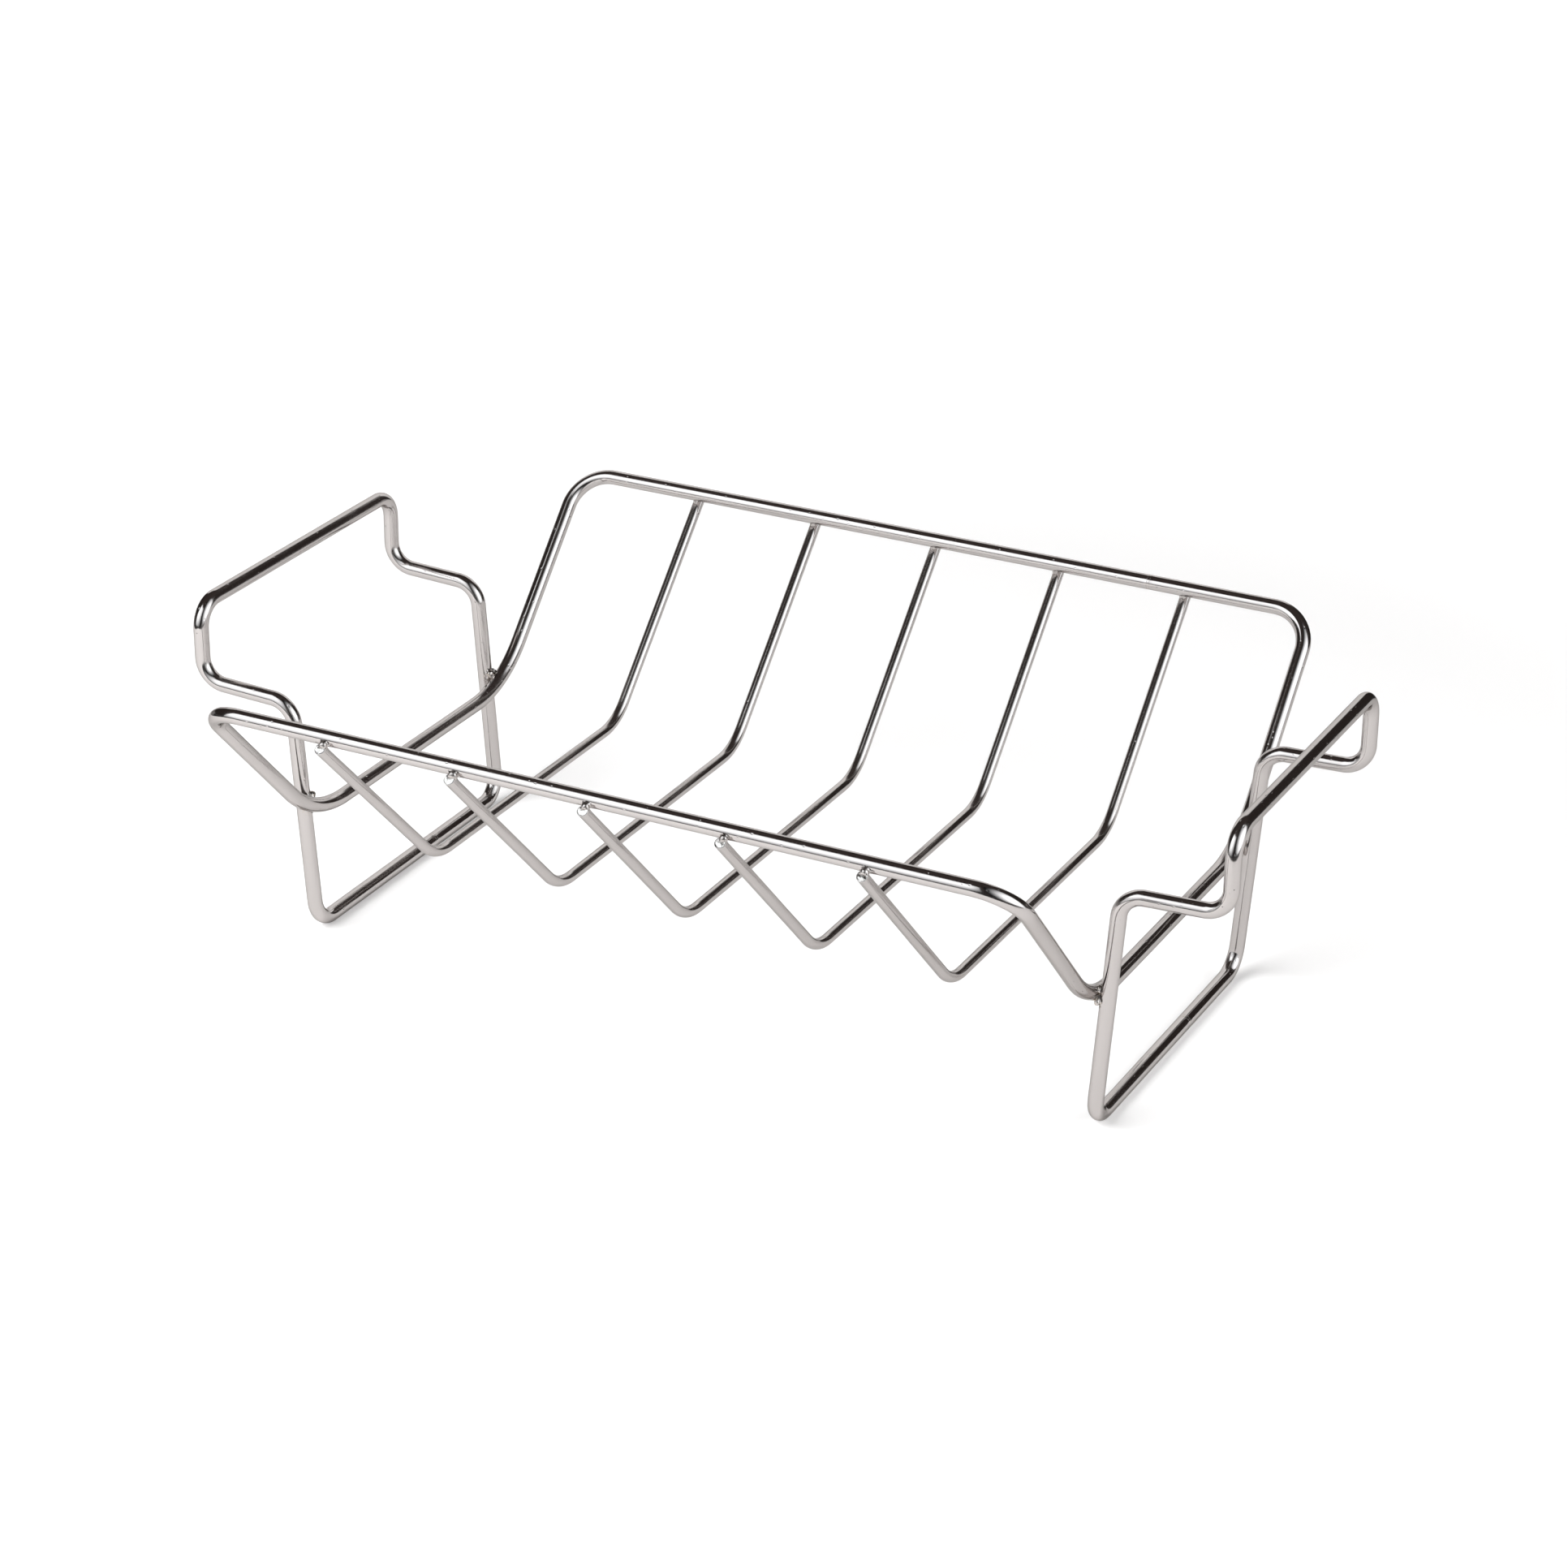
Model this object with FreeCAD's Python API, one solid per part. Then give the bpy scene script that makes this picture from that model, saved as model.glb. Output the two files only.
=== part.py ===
import FreeCAD, Part
import math
import os

# V-shaped wire roasting rack, in millimetres.
#
# Five U-bent ribs hang in a basket loop, and a closed end frame at each end carries
# the loop and ends in a raised handle. Every piece is round wire, bent cold and then
# welded where it crosses the next one. Nothing on it moves.
#
# Origin: the middle of the rack, on the surface that it stands on.
# +X runs along the basket to the right end, +Y to the rear, +Z up.
# All widths, heights and bend radii are those of the wire's centre line.

# Wire stock
FRAME_WIRE = 6.0
RIB_WIRE = 4.4

# Basket loop: two rims along X and, at each end, a U-shaped profile across Y
BASKET_LENGTH = 330.0
RIM_WIDTH = 280.0
RIM_HEIGHT = 125.0
BASKET_FLOOR_WIDTH = 142.2
BASKET_FLOOR_HEIGHT = 52.0
RIM_BEND = 16.0
BASKET_FLOOR_BEND = 50.0

# Ribs: evenly spaced between the two end profiles, welded below the rims
RIB_COUNT = 5
RIB_FLOOR_WIDTH = 141.2
RIB_FLOOR_HEIGHT = 47.0
RIB_BEND = 24.0
RIB_OVERHANG = 1.8

# End frames: floor bar, two leaning legs, two outward runs, two risers, handle bar
LEG_SPACING = 137.0
LEG_LEAN = 4.26
SHOULDER_HEIGHT = 97.1
ELBOW_HEIGHT = 98.7
HANDLE_REACH = 215.3
HANDLE_HEIGHT = 130.1
END_FRAME_BEND = 10.0

# Welds: the gap that weld metal fills between two crossing wires, and the bead's
# half sizes along the first wire, along the second wire and square to both
WELD_ROOT = 0.2
RIB_BEAD = (3.7, 3.3, 2.3)
LEG_BEAD = (4.3, 5.9, 2.7)

# Seams: where the two ends of each closed loop are butt-welded and ground back
SEAM_GAP = 1.2
SEAM_SINK = 0.1
BASKET_SEAM_X = 96.0
END_FRAME_SEAM_Y = 17.0

RIGHT = 1
LEFT = -1
REAR = 1
FRONT = -1

half_length = BASKET_LENGTH / 2
rim_half_width = RIM_WIDTH / 2
frame_radius = FRAME_WIRE / 2
rib_radius = RIB_WIRE / 2


def vector(x, y, z):
    return FreeCAD.Vector(x, y, z)


def cylinder_between(start, end, radius):
    """A round bar with flat ends."""
    run = end - start
    return Part.makeCylinder(radius, run.Length, start, run)


def bent_wire(points, bends, diameter):
    """A round wire along straight runs joined by tangent arcs, with square-cut ends.

    points are the corners of the centre line and its two ends, and bends holds the
    centre-line radius at each corner between them.
    """
    radius = diameter / 2
    pieces = []
    run_start = points[0]
    for before, corner, after, bend in zip(points, points[1:], points[2:], bends):
        incoming = (corner - before).normalize()
        outgoing = (after - corner).normalize()
        turn = incoming.getAngle(outgoing)
        tangent = bend * math.tan(turn / 2)
        arc_start = corner - incoming * tangent
        pieces.append(cylinder_between(run_start, arc_start, radius))
        inward = (outgoing - incoming).normalize()
        centre = corner + inward * (bend / math.cos(turn / 2))
        disc = Part.Face(Part.Wire(Part.makeCircle(radius, arc_start, incoming)))
        axis = incoming.cross(outgoing)
        pieces.append(disc.revolve(centre, axis, math.degrees(turn)))
        run_start = corner + outgoing * tangent
    pieces.append(cylinder_between(run_start, points[-1], radius))
    return pieces[0].multiFuse(pieces[1:]).removeSplitter().Solids[0]


def crossing_bead(centre, along_first, along_second, half_sizes, wires):
    """Weld metal round the point where two wires cross, cut back to their surfaces."""
    square = along_first.cross(along_second).normalize()
    upright = square.cross(along_first)
    axes = (along_first, upright, square)
    columns = [axis * half for axis, half in zip(axes, half_sizes)]
    stretch = FreeCAD.Matrix(
        columns[0].x, columns[1].x, columns[2].x, centre.x,
        columns[0].y, columns[1].y, columns[2].y, centre.y,
        columns[0].z, columns[1].z, columns[2].z, centre.z,
        0, 0, 0, 1,
    )
    bead = Part.makeSphere(1.0).transformGeometry(stretch)
    return largest(bead.cut(wires))


def largest(shape):
    return max(shape.Solids, key=lambda solid: solid.Volume)


def seam(centre, direction):
    """The ground-back butt weld that closes a loop."""
    start = centre - direction * (SEAM_GAP / 2)
    end = centre + direction * (SEAM_GAP / 2)
    return cylinder_between(start, end, frame_radius - SEAM_SINK)


# Basket loop

def basket_frame():
    """The loop: it starts and ends at the seam in the rear rim."""
    floor_half_width = BASKET_FLOOR_WIDTH / 2
    points = [vector(BASKET_SEAM_X - SEAM_GAP / 2, rim_half_width, RIM_HEIGHT)]
    bends = []
    for side, first in ((LEFT, REAR), (RIGHT, FRONT)):
        x = side * half_length
        points += [
            vector(x, first * rim_half_width, RIM_HEIGHT),
            vector(x, first * floor_half_width, BASKET_FLOOR_HEIGHT),
            vector(x, -first * floor_half_width, BASKET_FLOOR_HEIGHT),
            vector(x, -first * rim_half_width, RIM_HEIGHT),
        ]
        bends += [RIM_BEND, BASKET_FLOOR_BEND, BASKET_FLOOR_BEND, RIM_BEND]
    points.append(vector(BASKET_SEAM_X + SEAM_GAP / 2, rim_half_width, RIM_HEIGHT))
    return bent_wire(points, bends, FRAME_WIRE)


def basket_bend_at(y):
    """Height and slope angle of the end profile where its bottom bend passes y."""
    floor_half_width = BASKET_FLOOR_WIDTH / 2
    rise = RIM_HEIGHT - BASKET_FLOOR_HEIGHT
    turn = math.atan2(rise, rim_half_width - floor_half_width)
    arc_start = floor_half_width - BASKET_FLOOR_BEND * math.tan(turn / 2)
    slope = math.asin((y - arc_start) / BASKET_FLOOR_BEND)
    height = BASKET_FLOOR_HEIGHT + BASKET_FLOOR_BEND * (1 - math.cos(slope))
    return height, slope


# Ribs: each slope passes just below and outside the rim that it is welded to

weld_distance = frame_radius + WELD_ROOT + rib_radius
rib_half_width = RIB_FLOOR_WIDTH / 2
rib_run_y = rim_half_width - rib_half_width
rib_run_z = RIM_HEIGHT - RIB_FLOOR_HEIGHT
rib_to_rim = math.hypot(rib_run_y, rib_run_z)
rib_slope = math.atan2(rib_run_z, rib_run_y) - math.asin(weld_distance / rib_to_rim)
rib_weld_run = math.sqrt(rib_to_rim ** 2 - weld_distance ** 2)


def rib_positions():
    pitch = BASKET_LENGTH / (RIB_COUNT + 1)
    return [pitch * (number + 1) - half_length for number in range(RIB_COUNT)]


def rib_direction(way):
    """Unit vector up and along one slope, towards the front or the rear rim."""
    return vector(0, way * math.cos(rib_slope), math.sin(rib_slope))


def rib_corner(x, way):
    return vector(x, way * rib_half_width, RIB_FLOOR_HEIGHT)


def rib(x):
    reach = rib_weld_run + RIB_OVERHANG
    ends = [rib_corner(x, way) + rib_direction(way) * reach for way in (FRONT, REAR)]
    points = [ends[0], rib_corner(x, FRONT), rib_corner(x, REAR), ends[1]]
    return bent_wire(points, [RIB_BEND, RIB_BEND], RIB_WIRE)


def rib_weld(x, way, wires):
    """The bead between a rib's end and the underside of the rim."""
    rim = vector(x, way * rim_half_width, RIM_HEIGHT)
    outward = vector(0, way * math.sin(rib_slope), -math.cos(rib_slope))
    centre = rim + outward * (frame_radius + WELD_ROOT / 2)
    return crossing_bead(centre, vector(1, 0, 0), rib_direction(way), RIB_BEAD, wires)


# End frames: the legs pass just outside the bottom bends of the end profile

leg_y = LEG_SPACING / 2
crossing_height, crossing_slope = basket_bend_at(leg_y)
leg_lean = math.radians(LEG_LEAN)


def leg_x(height):
    """Distance of the leaning leg from the middle of the rack at a height."""
    crossing_x = half_length + FRAME_WIRE + WELD_ROOT
    return crossing_x + (height - crossing_height) * math.tan(leg_lean)


def end_frame(side):
    """One end frame: it starts and ends at the seam in the floor bar."""
    foot_x = side * leg_x(frame_radius)
    shoulder_x = side * leg_x(SHOULDER_HEIGHT)
    handle_x = side * HANDLE_REACH
    half_side = [
        (foot_x, frame_radius),
        (shoulder_x, SHOULDER_HEIGHT),
        (handle_x, ELBOW_HEIGHT),
        (handle_x, HANDLE_HEIGHT),
    ]
    rear = [vector(x, leg_y, z) for x, z in half_side]
    front = [vector(x, -leg_y, z) for x, z in reversed(half_side)]
    start = vector(foot_x, END_FRAME_SEAM_Y + SEAM_GAP / 2, frame_radius)
    end = vector(foot_x, END_FRAME_SEAM_Y - SEAM_GAP / 2, frame_radius)
    corners = rear + front
    return bent_wire([start] + corners + [end], [END_FRAME_BEND] * len(corners), FRAME_WIRE)


def leg_weld(side, way, wires):
    """The bead between a leg and the bottom bend of the end profile."""
    crossing_x = half_length + (FRAME_WIRE + WELD_ROOT) / 2
    centre = vector(side * crossing_x, way * leg_y, crossing_height)
    profile = vector(0, way * math.cos(crossing_slope), math.sin(crossing_slope))
    leg = vector(side * math.sin(leg_lean), 0, math.cos(leg_lean))
    return crossing_bead(centre, profile, leg, LEG_BEAD, wires)


def build():
    """Every piece of the rack by its node name."""
    basket = basket_frame()
    nodes = {"basket_frame": basket}
    rim_seam = vector(BASKET_SEAM_X, rim_half_width, RIM_HEIGHT)
    nodes["basket_frame_seam"] = seam(rim_seam, vector(1, 0, 0))

    for number, x in enumerate(rib_positions(), start=1):
        wire = rib(x)
        nodes[f"rib_{number}"] = wire
        for name, way in (("front", FRONT), ("rear", REAR)):
            nodes[f"rib_{number}_{name}_weld"] = rib_weld(x, way, [basket, wire])

    for name, side in (("left", LEFT), ("right", RIGHT)):
        frame = end_frame(side)
        nodes[f"{name}_end_frame"] = frame
        bar_seam = vector(side * leg_x(frame_radius), END_FRAME_SEAM_Y, frame_radius)
        nodes[f"{name}_end_frame_seam"] = seam(bar_seam, vector(0, 1, 0))
        for end, way in (("front", FRONT), ("rear", REAR)):
            nodes[f"{name}_{end}_leg_weld"] = leg_weld(side, way, [basket, frame])
    return nodes


def main():
    os.makedirs("parts", exist_ok=True)
    for name, shape in build().items():
        if not shape.isValid() or len(shape.Solids) != 1:
            raise ValueError(f"{name} is not one valid solid")
        shape.exportStep(f"parts/{name}.step")
        print(f"{name}: {shape.Volume:.1f} mm3, {len(shape.Faces)} faces")


main()
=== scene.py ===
"""Looks of the V-shaped wire roasting rack: polished round wire, its welds and a plain studio.

Everything is in metres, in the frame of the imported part: +X along the basket to the right end,
+Y to the rear, +Z up from the surface that the rack stands on. Every wire is swept along its
own bent centre line, and every weld is the metal between the two wires that it joins.
"""

import logging
import math
from dataclasses import dataclass, field
from enum import Enum, IntEnum
from typing import Callable, Optional, Sequence

import bmesh
import bpy
import numpy as np
from mathutils import Matrix, Vector


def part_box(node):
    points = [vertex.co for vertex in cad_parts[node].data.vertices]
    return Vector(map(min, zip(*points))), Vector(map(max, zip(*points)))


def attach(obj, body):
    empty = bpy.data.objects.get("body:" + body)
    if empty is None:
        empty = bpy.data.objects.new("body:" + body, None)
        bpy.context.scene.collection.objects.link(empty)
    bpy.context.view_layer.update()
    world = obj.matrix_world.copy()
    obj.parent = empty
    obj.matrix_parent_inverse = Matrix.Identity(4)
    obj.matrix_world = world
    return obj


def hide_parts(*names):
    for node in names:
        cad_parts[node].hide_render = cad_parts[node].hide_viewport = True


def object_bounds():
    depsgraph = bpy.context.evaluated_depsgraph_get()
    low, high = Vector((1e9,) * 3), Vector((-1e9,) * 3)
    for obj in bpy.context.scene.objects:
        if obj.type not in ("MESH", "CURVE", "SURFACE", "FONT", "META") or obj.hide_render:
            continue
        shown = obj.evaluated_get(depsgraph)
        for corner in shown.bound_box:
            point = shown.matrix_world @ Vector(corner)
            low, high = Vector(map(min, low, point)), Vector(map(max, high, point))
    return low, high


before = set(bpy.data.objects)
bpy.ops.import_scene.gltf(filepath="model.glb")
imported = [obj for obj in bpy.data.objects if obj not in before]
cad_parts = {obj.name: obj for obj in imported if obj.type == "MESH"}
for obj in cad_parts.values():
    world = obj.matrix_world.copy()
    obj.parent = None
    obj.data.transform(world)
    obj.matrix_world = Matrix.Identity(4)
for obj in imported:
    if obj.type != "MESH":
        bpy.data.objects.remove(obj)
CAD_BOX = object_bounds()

LOG = logging.getLogger("wire_rack")
MM = 0.001
X_AXIS = Vector((1.0, 0.0, 0.0))
Y_AXIS = Vector((0.0, 1.0, 0.0))
Z_AXIS = Vector((0.0, 0.0, 1.0))

# How much of its brightness polished steel keeps where it is seen at a grazing angle
EDGE_TINT = (0.58, 0.57, 0.56, 1.0)
# Heat tints from cool to hot, as the heat at which each is reached and what it multiplies
HEAT_TINTS = (
    (0.0, (1.0, 1.0, 1.0, 1.0)),
    (0.35, (1.0, 0.93, 0.80, 1.0)),
    (0.7, (0.72, 0.60, 0.48, 1.0)),
    (1.0, (0.30, 0.27, 0.27, 1.0)),
)
# Number of patches of burnt skin to a metre
BURNT_PATCHES = 900.0
# Roughness that burnt skin adds to polished wire
BURNT_GLOSS = 0.15
# Size of the clouds of haze on the wires
WIRE_CLOUD = 25 * MM
# How much drawing lines, pits and waves are drawn out: their scale along the wire
LINE_STRETCH = (1.0, 1.0, 0.02)
PIT_STRETCH = (1.0, 1.0, 0.5)
WAVE_STRETCH = (1.0, 1.0, 0.3)
# Fineness of the dull streaks beside that of the drawing lines
STREAK_FINENESS = 0.12
# Distance between the places of two wires in the coil that they were cut from
COIL_STEP = 1.37
# How far the metal of a weld lies under the skin of the wires that it joins
WELD_SKIN = 0.02 * MM
# Power of an area light of one square metre whose radiance is 1
AREA_LIGHT_WATTS = math.pi
# Tint of the softboxes' cloth
CLOTH_COLOUR = (0.96, 1.0, 1.03)
# Tint of the room's dark walls
WALL_COLOUR = (1.0, 0.80, 0.74)
WHITE = (1.0, 1.0, 1.0, 1.0)

Colour = tuple[float, float, float]
Distance = Callable[[np.ndarray], np.ndarray]


class Side(IntEnum):
    """An end of the rack, as a sign along X."""

    LEFT = -1
    RIGHT = 1


class Way(IntEnum):
    """A long side of the rack, as a sign along Y."""

    FRONT = -1
    REAR = 1


class Slot(Enum):
    """Names of the material slots."""

    FRAME_WIRE = "frame_wire"
    RIB_WIRE = "rib_wire"
    WELD_BEAD = "weld_bead"
    GROUND_SEAM = "ground_seam"


# Node helpers


def add_node(
    tree: bpy.types.NodeTree, kind: str, inputs: Optional[dict] = None, **settings: object
) -> bpy.types.Node:
    """Adds a node, sets its properties and fills its inputs.

    Args:
        tree: The node tree that it goes in.
        kind: Blender's type name of the node.
        inputs: By input name or number, a socket to link from or a plain value.
        **settings: Properties of the node.

    Returns:
        The new node.
    """
    made = tree.nodes.new(kind)
    for name, value in settings.items():
        setattr(made, name, value)
    for name, value in (inputs or {}).items():
        if isinstance(value, bpy.types.NodeSocket):
            tree.links.new(value, made.inputs[name])
        else:
            made.inputs[name].default_value = value
    return made


def maths(
    tree: bpy.types.NodeTree, operation: str, first: object, second: object = 0.0
) -> bpy.types.NodeSocket:
    """Adds a Math node.

    Args:
        tree: The node tree.
        operation: Blender's name of the operation.
        first: The first socket or number.
        second: The second socket or number.

    Returns:
        The result socket.
    """
    return add_node(tree, "ShaderNodeMath", {0: first, 1: second}, operation=operation).outputs[0]


def ramp(
    tree: bpy.types.NodeTree,
    value: object,
    low: float,
    high: object,
    to_low: float = 0.0,
    to_high: float = 1.0,
) -> bpy.types.NodeSocket:
    """Adds a smooth map from one range to another.

    Args:
        tree: The node tree.
        value: The socket to map.
        low: The value that gives to_low.
        high: The value that gives to_high, or its socket.
        to_low: Result at low.
        to_high: Result at high.

    Returns:
        The result socket.
    """
    inputs = {"Value": value, "From Min": low, "From Max": high, "To Min": to_low, "To Max": to_high}
    made = add_node(tree, "ShaderNodeMapRange", inputs, interpolation_type="SMOOTHSTEP")
    return made.outputs["Result"]


def stretched(tree: bpy.types.NodeTree, place: object, stretch: Colour) -> bpy.types.NodeSocket:
    """Multiplies a vector by a constant one.

    Args:
        tree: The node tree.
        place: The vector's socket.
        stretch: What each coordinate is multiplied by.

    Returns:
        The result socket.
    """
    return add_node(tree, "ShaderNodeVectorMath", {0: place, 1: stretch}, operation="MULTIPLY").outputs[0]


def shared_group(
    name: str, inputs: dict[str, tuple[str, object]], outputs: dict[str, str], fill: Callable
) -> bpy.types.NodeTree:
    """Builds a shader node group once, and gives the same one each later time.

    Args:
        name: The group's name.
        inputs: By socket name, its kind (Vector, Float or Color) and default value.
        outputs: By socket name, its kind.
        fill: Takes the tree and the input sockets, and returns the output sockets by name.

    Returns:
        The node group.
    """
    made = bpy.data.node_groups.get(name)
    if made is not None:
        return made
    made = bpy.data.node_groups.new(name, "ShaderNodeTree")
    for socket, (kind, default) in inputs.items():
        added = made.interface.new_socket(socket, in_out="INPUT", socket_type=f"NodeSocket{kind}")
        if default is not None:
            added.default_value = default
    for socket, kind in outputs.items():
        made.interface.new_socket(socket, in_out="OUTPUT", socket_type=f"NodeSocket{kind}")
    entry = made.nodes.new("NodeGroupInput")
    results = fill(made, entry.outputs)
    add_node(made, "NodeGroupOutput", results)
    return made


def use_group(tree: bpy.types.NodeTree, group: bpy.types.NodeTree, inputs: dict) -> bpy.types.NodeOutputs:
    """Places a node group.

    Args:
        tree: The material's node tree.
        group: The shared group.
        inputs: Its inputs, as for add_node.

    Returns:
        The outputs of the placed group.
    """
    return add_node(tree, "ShaderNodeGroup", inputs, node_tree=group).outputs


# Effects that several finishes share


def drawing_lines() -> bpy.types.NodeTree:
    """The fine lines that the drawing die leaves along a wire.

    Returns:
        A group with a Height for a bump and Streaks, a slow change of gloss along the wire.
    """

    def fill(tree: bpy.types.NodeTree, given: bpy.types.NodeOutputs) -> dict:
        """Stretches noise along the wire."""
        stretch = stretched(tree, given["Wire Space"], LINE_STRETCH)
        scale = maths(tree, "DIVIDE", 1.0, given["Line Width"])
        lines = add_node(tree, "ShaderNodeTexNoise", {"Vector": stretch, "Scale": scale, "Detail": 2.0})
        coarse = maths(tree, "MULTIPLY", scale, STREAK_FINENESS)
        streaks = add_node(tree, "ShaderNodeTexNoise", {"Vector": stretch, "Scale": coarse, "Detail": 3.0})
        return {"Height": lines.outputs[0], "Streaks": ramp(tree, streaks.outputs[0], 0.35, 0.7)}

    inputs = {"Wire Space": ("Vector", None), "Line Width": ("Float", 0.2 * MM)}
    return shared_group("drawing_lines", inputs, {"Height": "Float", "Streaks": "Float"}, fill)


def fine_pits() -> bpy.types.NodeTree:
    """Small pits that polishing leaves in the skin of the steel, longer along the wire.

    Returns:
        A group with Pit, a mask that is 1 in the middle of a pit.
    """

    def fill(tree: bpy.types.NodeTree, given: bpy.types.NodeOutputs) -> dict:
        """Keeps the middle of some cells."""
        longer = stretched(tree, given["Place"], PIT_STRETCH)
        inputs = {"Vector": longer, "Scale": maths(tree, "DIVIDE", 1.0, given["Spacing"])}
        cells = add_node(tree, "ShaderNodeTexVoronoi", inputs)
        share = maths(tree, "DIVIDE", given["Width"], given["Spacing"])
        fall = ramp(tree, cells.outputs["Distance"], 0.0, share, 1.0, 0.0)
        parts = add_node(tree, "ShaderNodeSeparateColor", {0: cells.outputs["Color"]})
        chosen = maths(tree, "LESS_THAN", parts.outputs[0], given["Amount"])
        return {"Pit": maths(tree, "MULTIPLY", fall, chosen)}

    inputs = {
        "Place": ("Vector", None),
        "Spacing": ("Float", 1.0 * MM),
        "Width": ("Float", 0.3 * MM),
        "Amount": ("Float", 0.3),
    }
    return shared_group("fine_pits", inputs, {"Pit": "Float"}, fill)


def handling_haze() -> bpy.types.NodeTree:
    """Faint dull clouds from handling and washing.

    Returns:
        A group with Haze, from 0 on clean metal to 1 in a cloud.
    """

    def fill(tree: bpy.types.NodeTree, given: bpy.types.NodeOutputs) -> dict:
        """Turns broad noise into soft clouds."""
        scale = maths(tree, "DIVIDE", 1.0, given["Cloud Size"])
        inputs = {"Vector": given["Place"], "Scale": scale, "Detail": 4.0, "Roughness": 0.6}
        clouds = add_node(tree, "ShaderNodeTexNoise", inputs)
        return {"Haze": ramp(tree, clouds.outputs[0], 0.45, 0.75)}

    inputs = {"Place": ("Vector", None), "Cloud Size": ("Float", 20 * MM)}
    return shared_group("handling_haze", inputs, {"Haze": "Float"}, fill)


def weld_tint() -> bpy.types.NodeTree:
    """The straw and brown tint that heat leaves on steel, broken up by polishing.

    Returns:
        A group with the tinted Color, and Scale, how much burnt skin is left.
    """

    def fill(tree: bpy.types.NodeTree, given: bpy.types.NodeOutputs) -> dict:
        """Mixes the tint over the steel where it was hot."""
        inputs = {"Vector": given["Place"], "Scale": BURNT_PATCHES, "Detail": 3.0}
        patches = add_node(tree, "ShaderNodeTexNoise", inputs)
        broken = maths(tree, "MULTIPLY", given["Heat"], ramp(tree, patches.outputs[0], 0.3, 0.7, 0.4, 1.3))
        warm = add_node(tree, "ShaderNodeValToRGB", {0: broken})
        stops = warm.color_ramp.elements
        for position, _ in HEAT_TINTS[1:-1]:
            stops.new(position)
        for stop, (_, colour) in zip(stops, HEAT_TINTS):
            stop.color = colour
        tint = add_node(
            tree,
            "ShaderNodeMix",
            {0: 1.0, 6: given["Steel"], 7: warm.outputs[0]},
            data_type="RGBA",
            blend_type="MULTIPLY",
        )
        return {"Color": tint.outputs[2], "Scale": broken}

    inputs = {"Place": ("Vector", None), "Heat": ("Float", 0.0), "Steel": ("Color", (0.6, 0.6, 0.6, 1.0))}
    return shared_group("weld_tint", inputs, {"Color": "Color", "Scale": "Float"}, fill)


# Finishes


def new_material(name: str) -> tuple[bpy.types.Material, bpy.types.NodeTree, bpy.types.Node]:
    """Starts a material of steel with one Principled shader.

    Args:
        name: The material's name.

    Returns:
        The material, its node tree and the shader node.
    """
    made = bpy.data.materials.new(name)
    made.use_nodes = True
    shader = made.node_tree.nodes["Principled BSDF"]
    shader.inputs["Metallic"].default_value = 1.0
    shader.inputs["Specular Tint"].default_value = EDGE_TINT
    return made, made.node_tree, shader


@dataclass(frozen=True)
class PolishedWire:
    """Bright drawn stainless wire, tumbled and electropolished after welding.

    Attributes:
        name: The material's name.
        steel: Colour of the reflections.
        gloss: Roughness of clean metal.
        streak_gloss: Roughness added in the dull streaks.
        haze_gloss: Roughness added where hands have been.
        line_width: Spacing of the drawing lines.
        line_height: Depth of the drawing lines.
        pit_spacing: Distance between possible pits.
        pit_width: Width of a pit.
        pit_share: Share of the places that have a pit.
        pit_depth: Depth of a pit.
    """

    name: str
    steel: Colour = (0.60, 0.566, 0.552)
    gloss: float = 0.11
    streak_gloss: float = 0.07
    haze_gloss: float = 0.06
    line_width: float = 0.22 * MM
    line_height: float = 0.0018 * MM
    pit_spacing: float = 1.8 * MM
    pit_width: float = 0.36 * MM
    pit_share: float = 0.6
    pit_depth: float = 0.08 * MM

    def material(self) -> bpy.types.Material:
        """Builds the material.

        Returns:
            The material. It reads the wire_space and heat attributes of the mesh.
        """
        made, tree, shader = new_material(self.name)
        place = add_node(tree, "ShaderNodeAttribute", attribute_name="wire_space").outputs["Vector"]
        heat = add_node(tree, "ShaderNodeAttribute", attribute_name="heat").outputs["Fac"]
        lines = use_group(tree, drawing_lines(), {"Wire Space": place, "Line Width": self.line_width})
        pit_values = {
            "Place": place,
            "Spacing": self.pit_spacing,
            "Width": self.pit_width,
            "Amount": self.pit_share,
        }
        pits = use_group(tree, fine_pits(), pit_values)
        haze = use_group(tree, handling_haze(), {"Place": place, "Cloud Size": WIRE_CLOUD})
        steel = (*self.steel, 1.0)
        tint = use_group(tree, weld_tint(), {"Place": place, "Heat": heat, "Steel": steel})
        tree.links.new(tint["Color"], shader.inputs["Base Color"])
        streaked = maths(tree, "MULTIPLY", lines["Streaks"], self.streak_gloss)
        hazed = maths(tree, "MULTIPLY", haze["Haze"], self.haze_gloss)
        burnt = maths(tree, "MULTIPLY", tint["Scale"], BURNT_GLOSS)
        dull = maths(tree, "ADD", maths(tree, "ADD", streaked, hazed), burnt)
        tree.links.new(maths(tree, "ADD", dull, self.gloss), shader.inputs["Roughness"])
        drawn = add_node(
            tree, "ShaderNodeBump", {"Strength": 1.0, "Distance": self.line_height, "Height": lines["Height"]}
        )
        pitted = add_node(
            tree,
            "ShaderNodeBump",
            {"Strength": 1.0, "Distance": self.pit_depth, "Height": pits["Pit"], "Normal": drawn.outputs[0]},
            invert=True,
        )
        tree.links.new(pitted.outputs[0], shader.inputs["Normal"])
        return made


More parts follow.
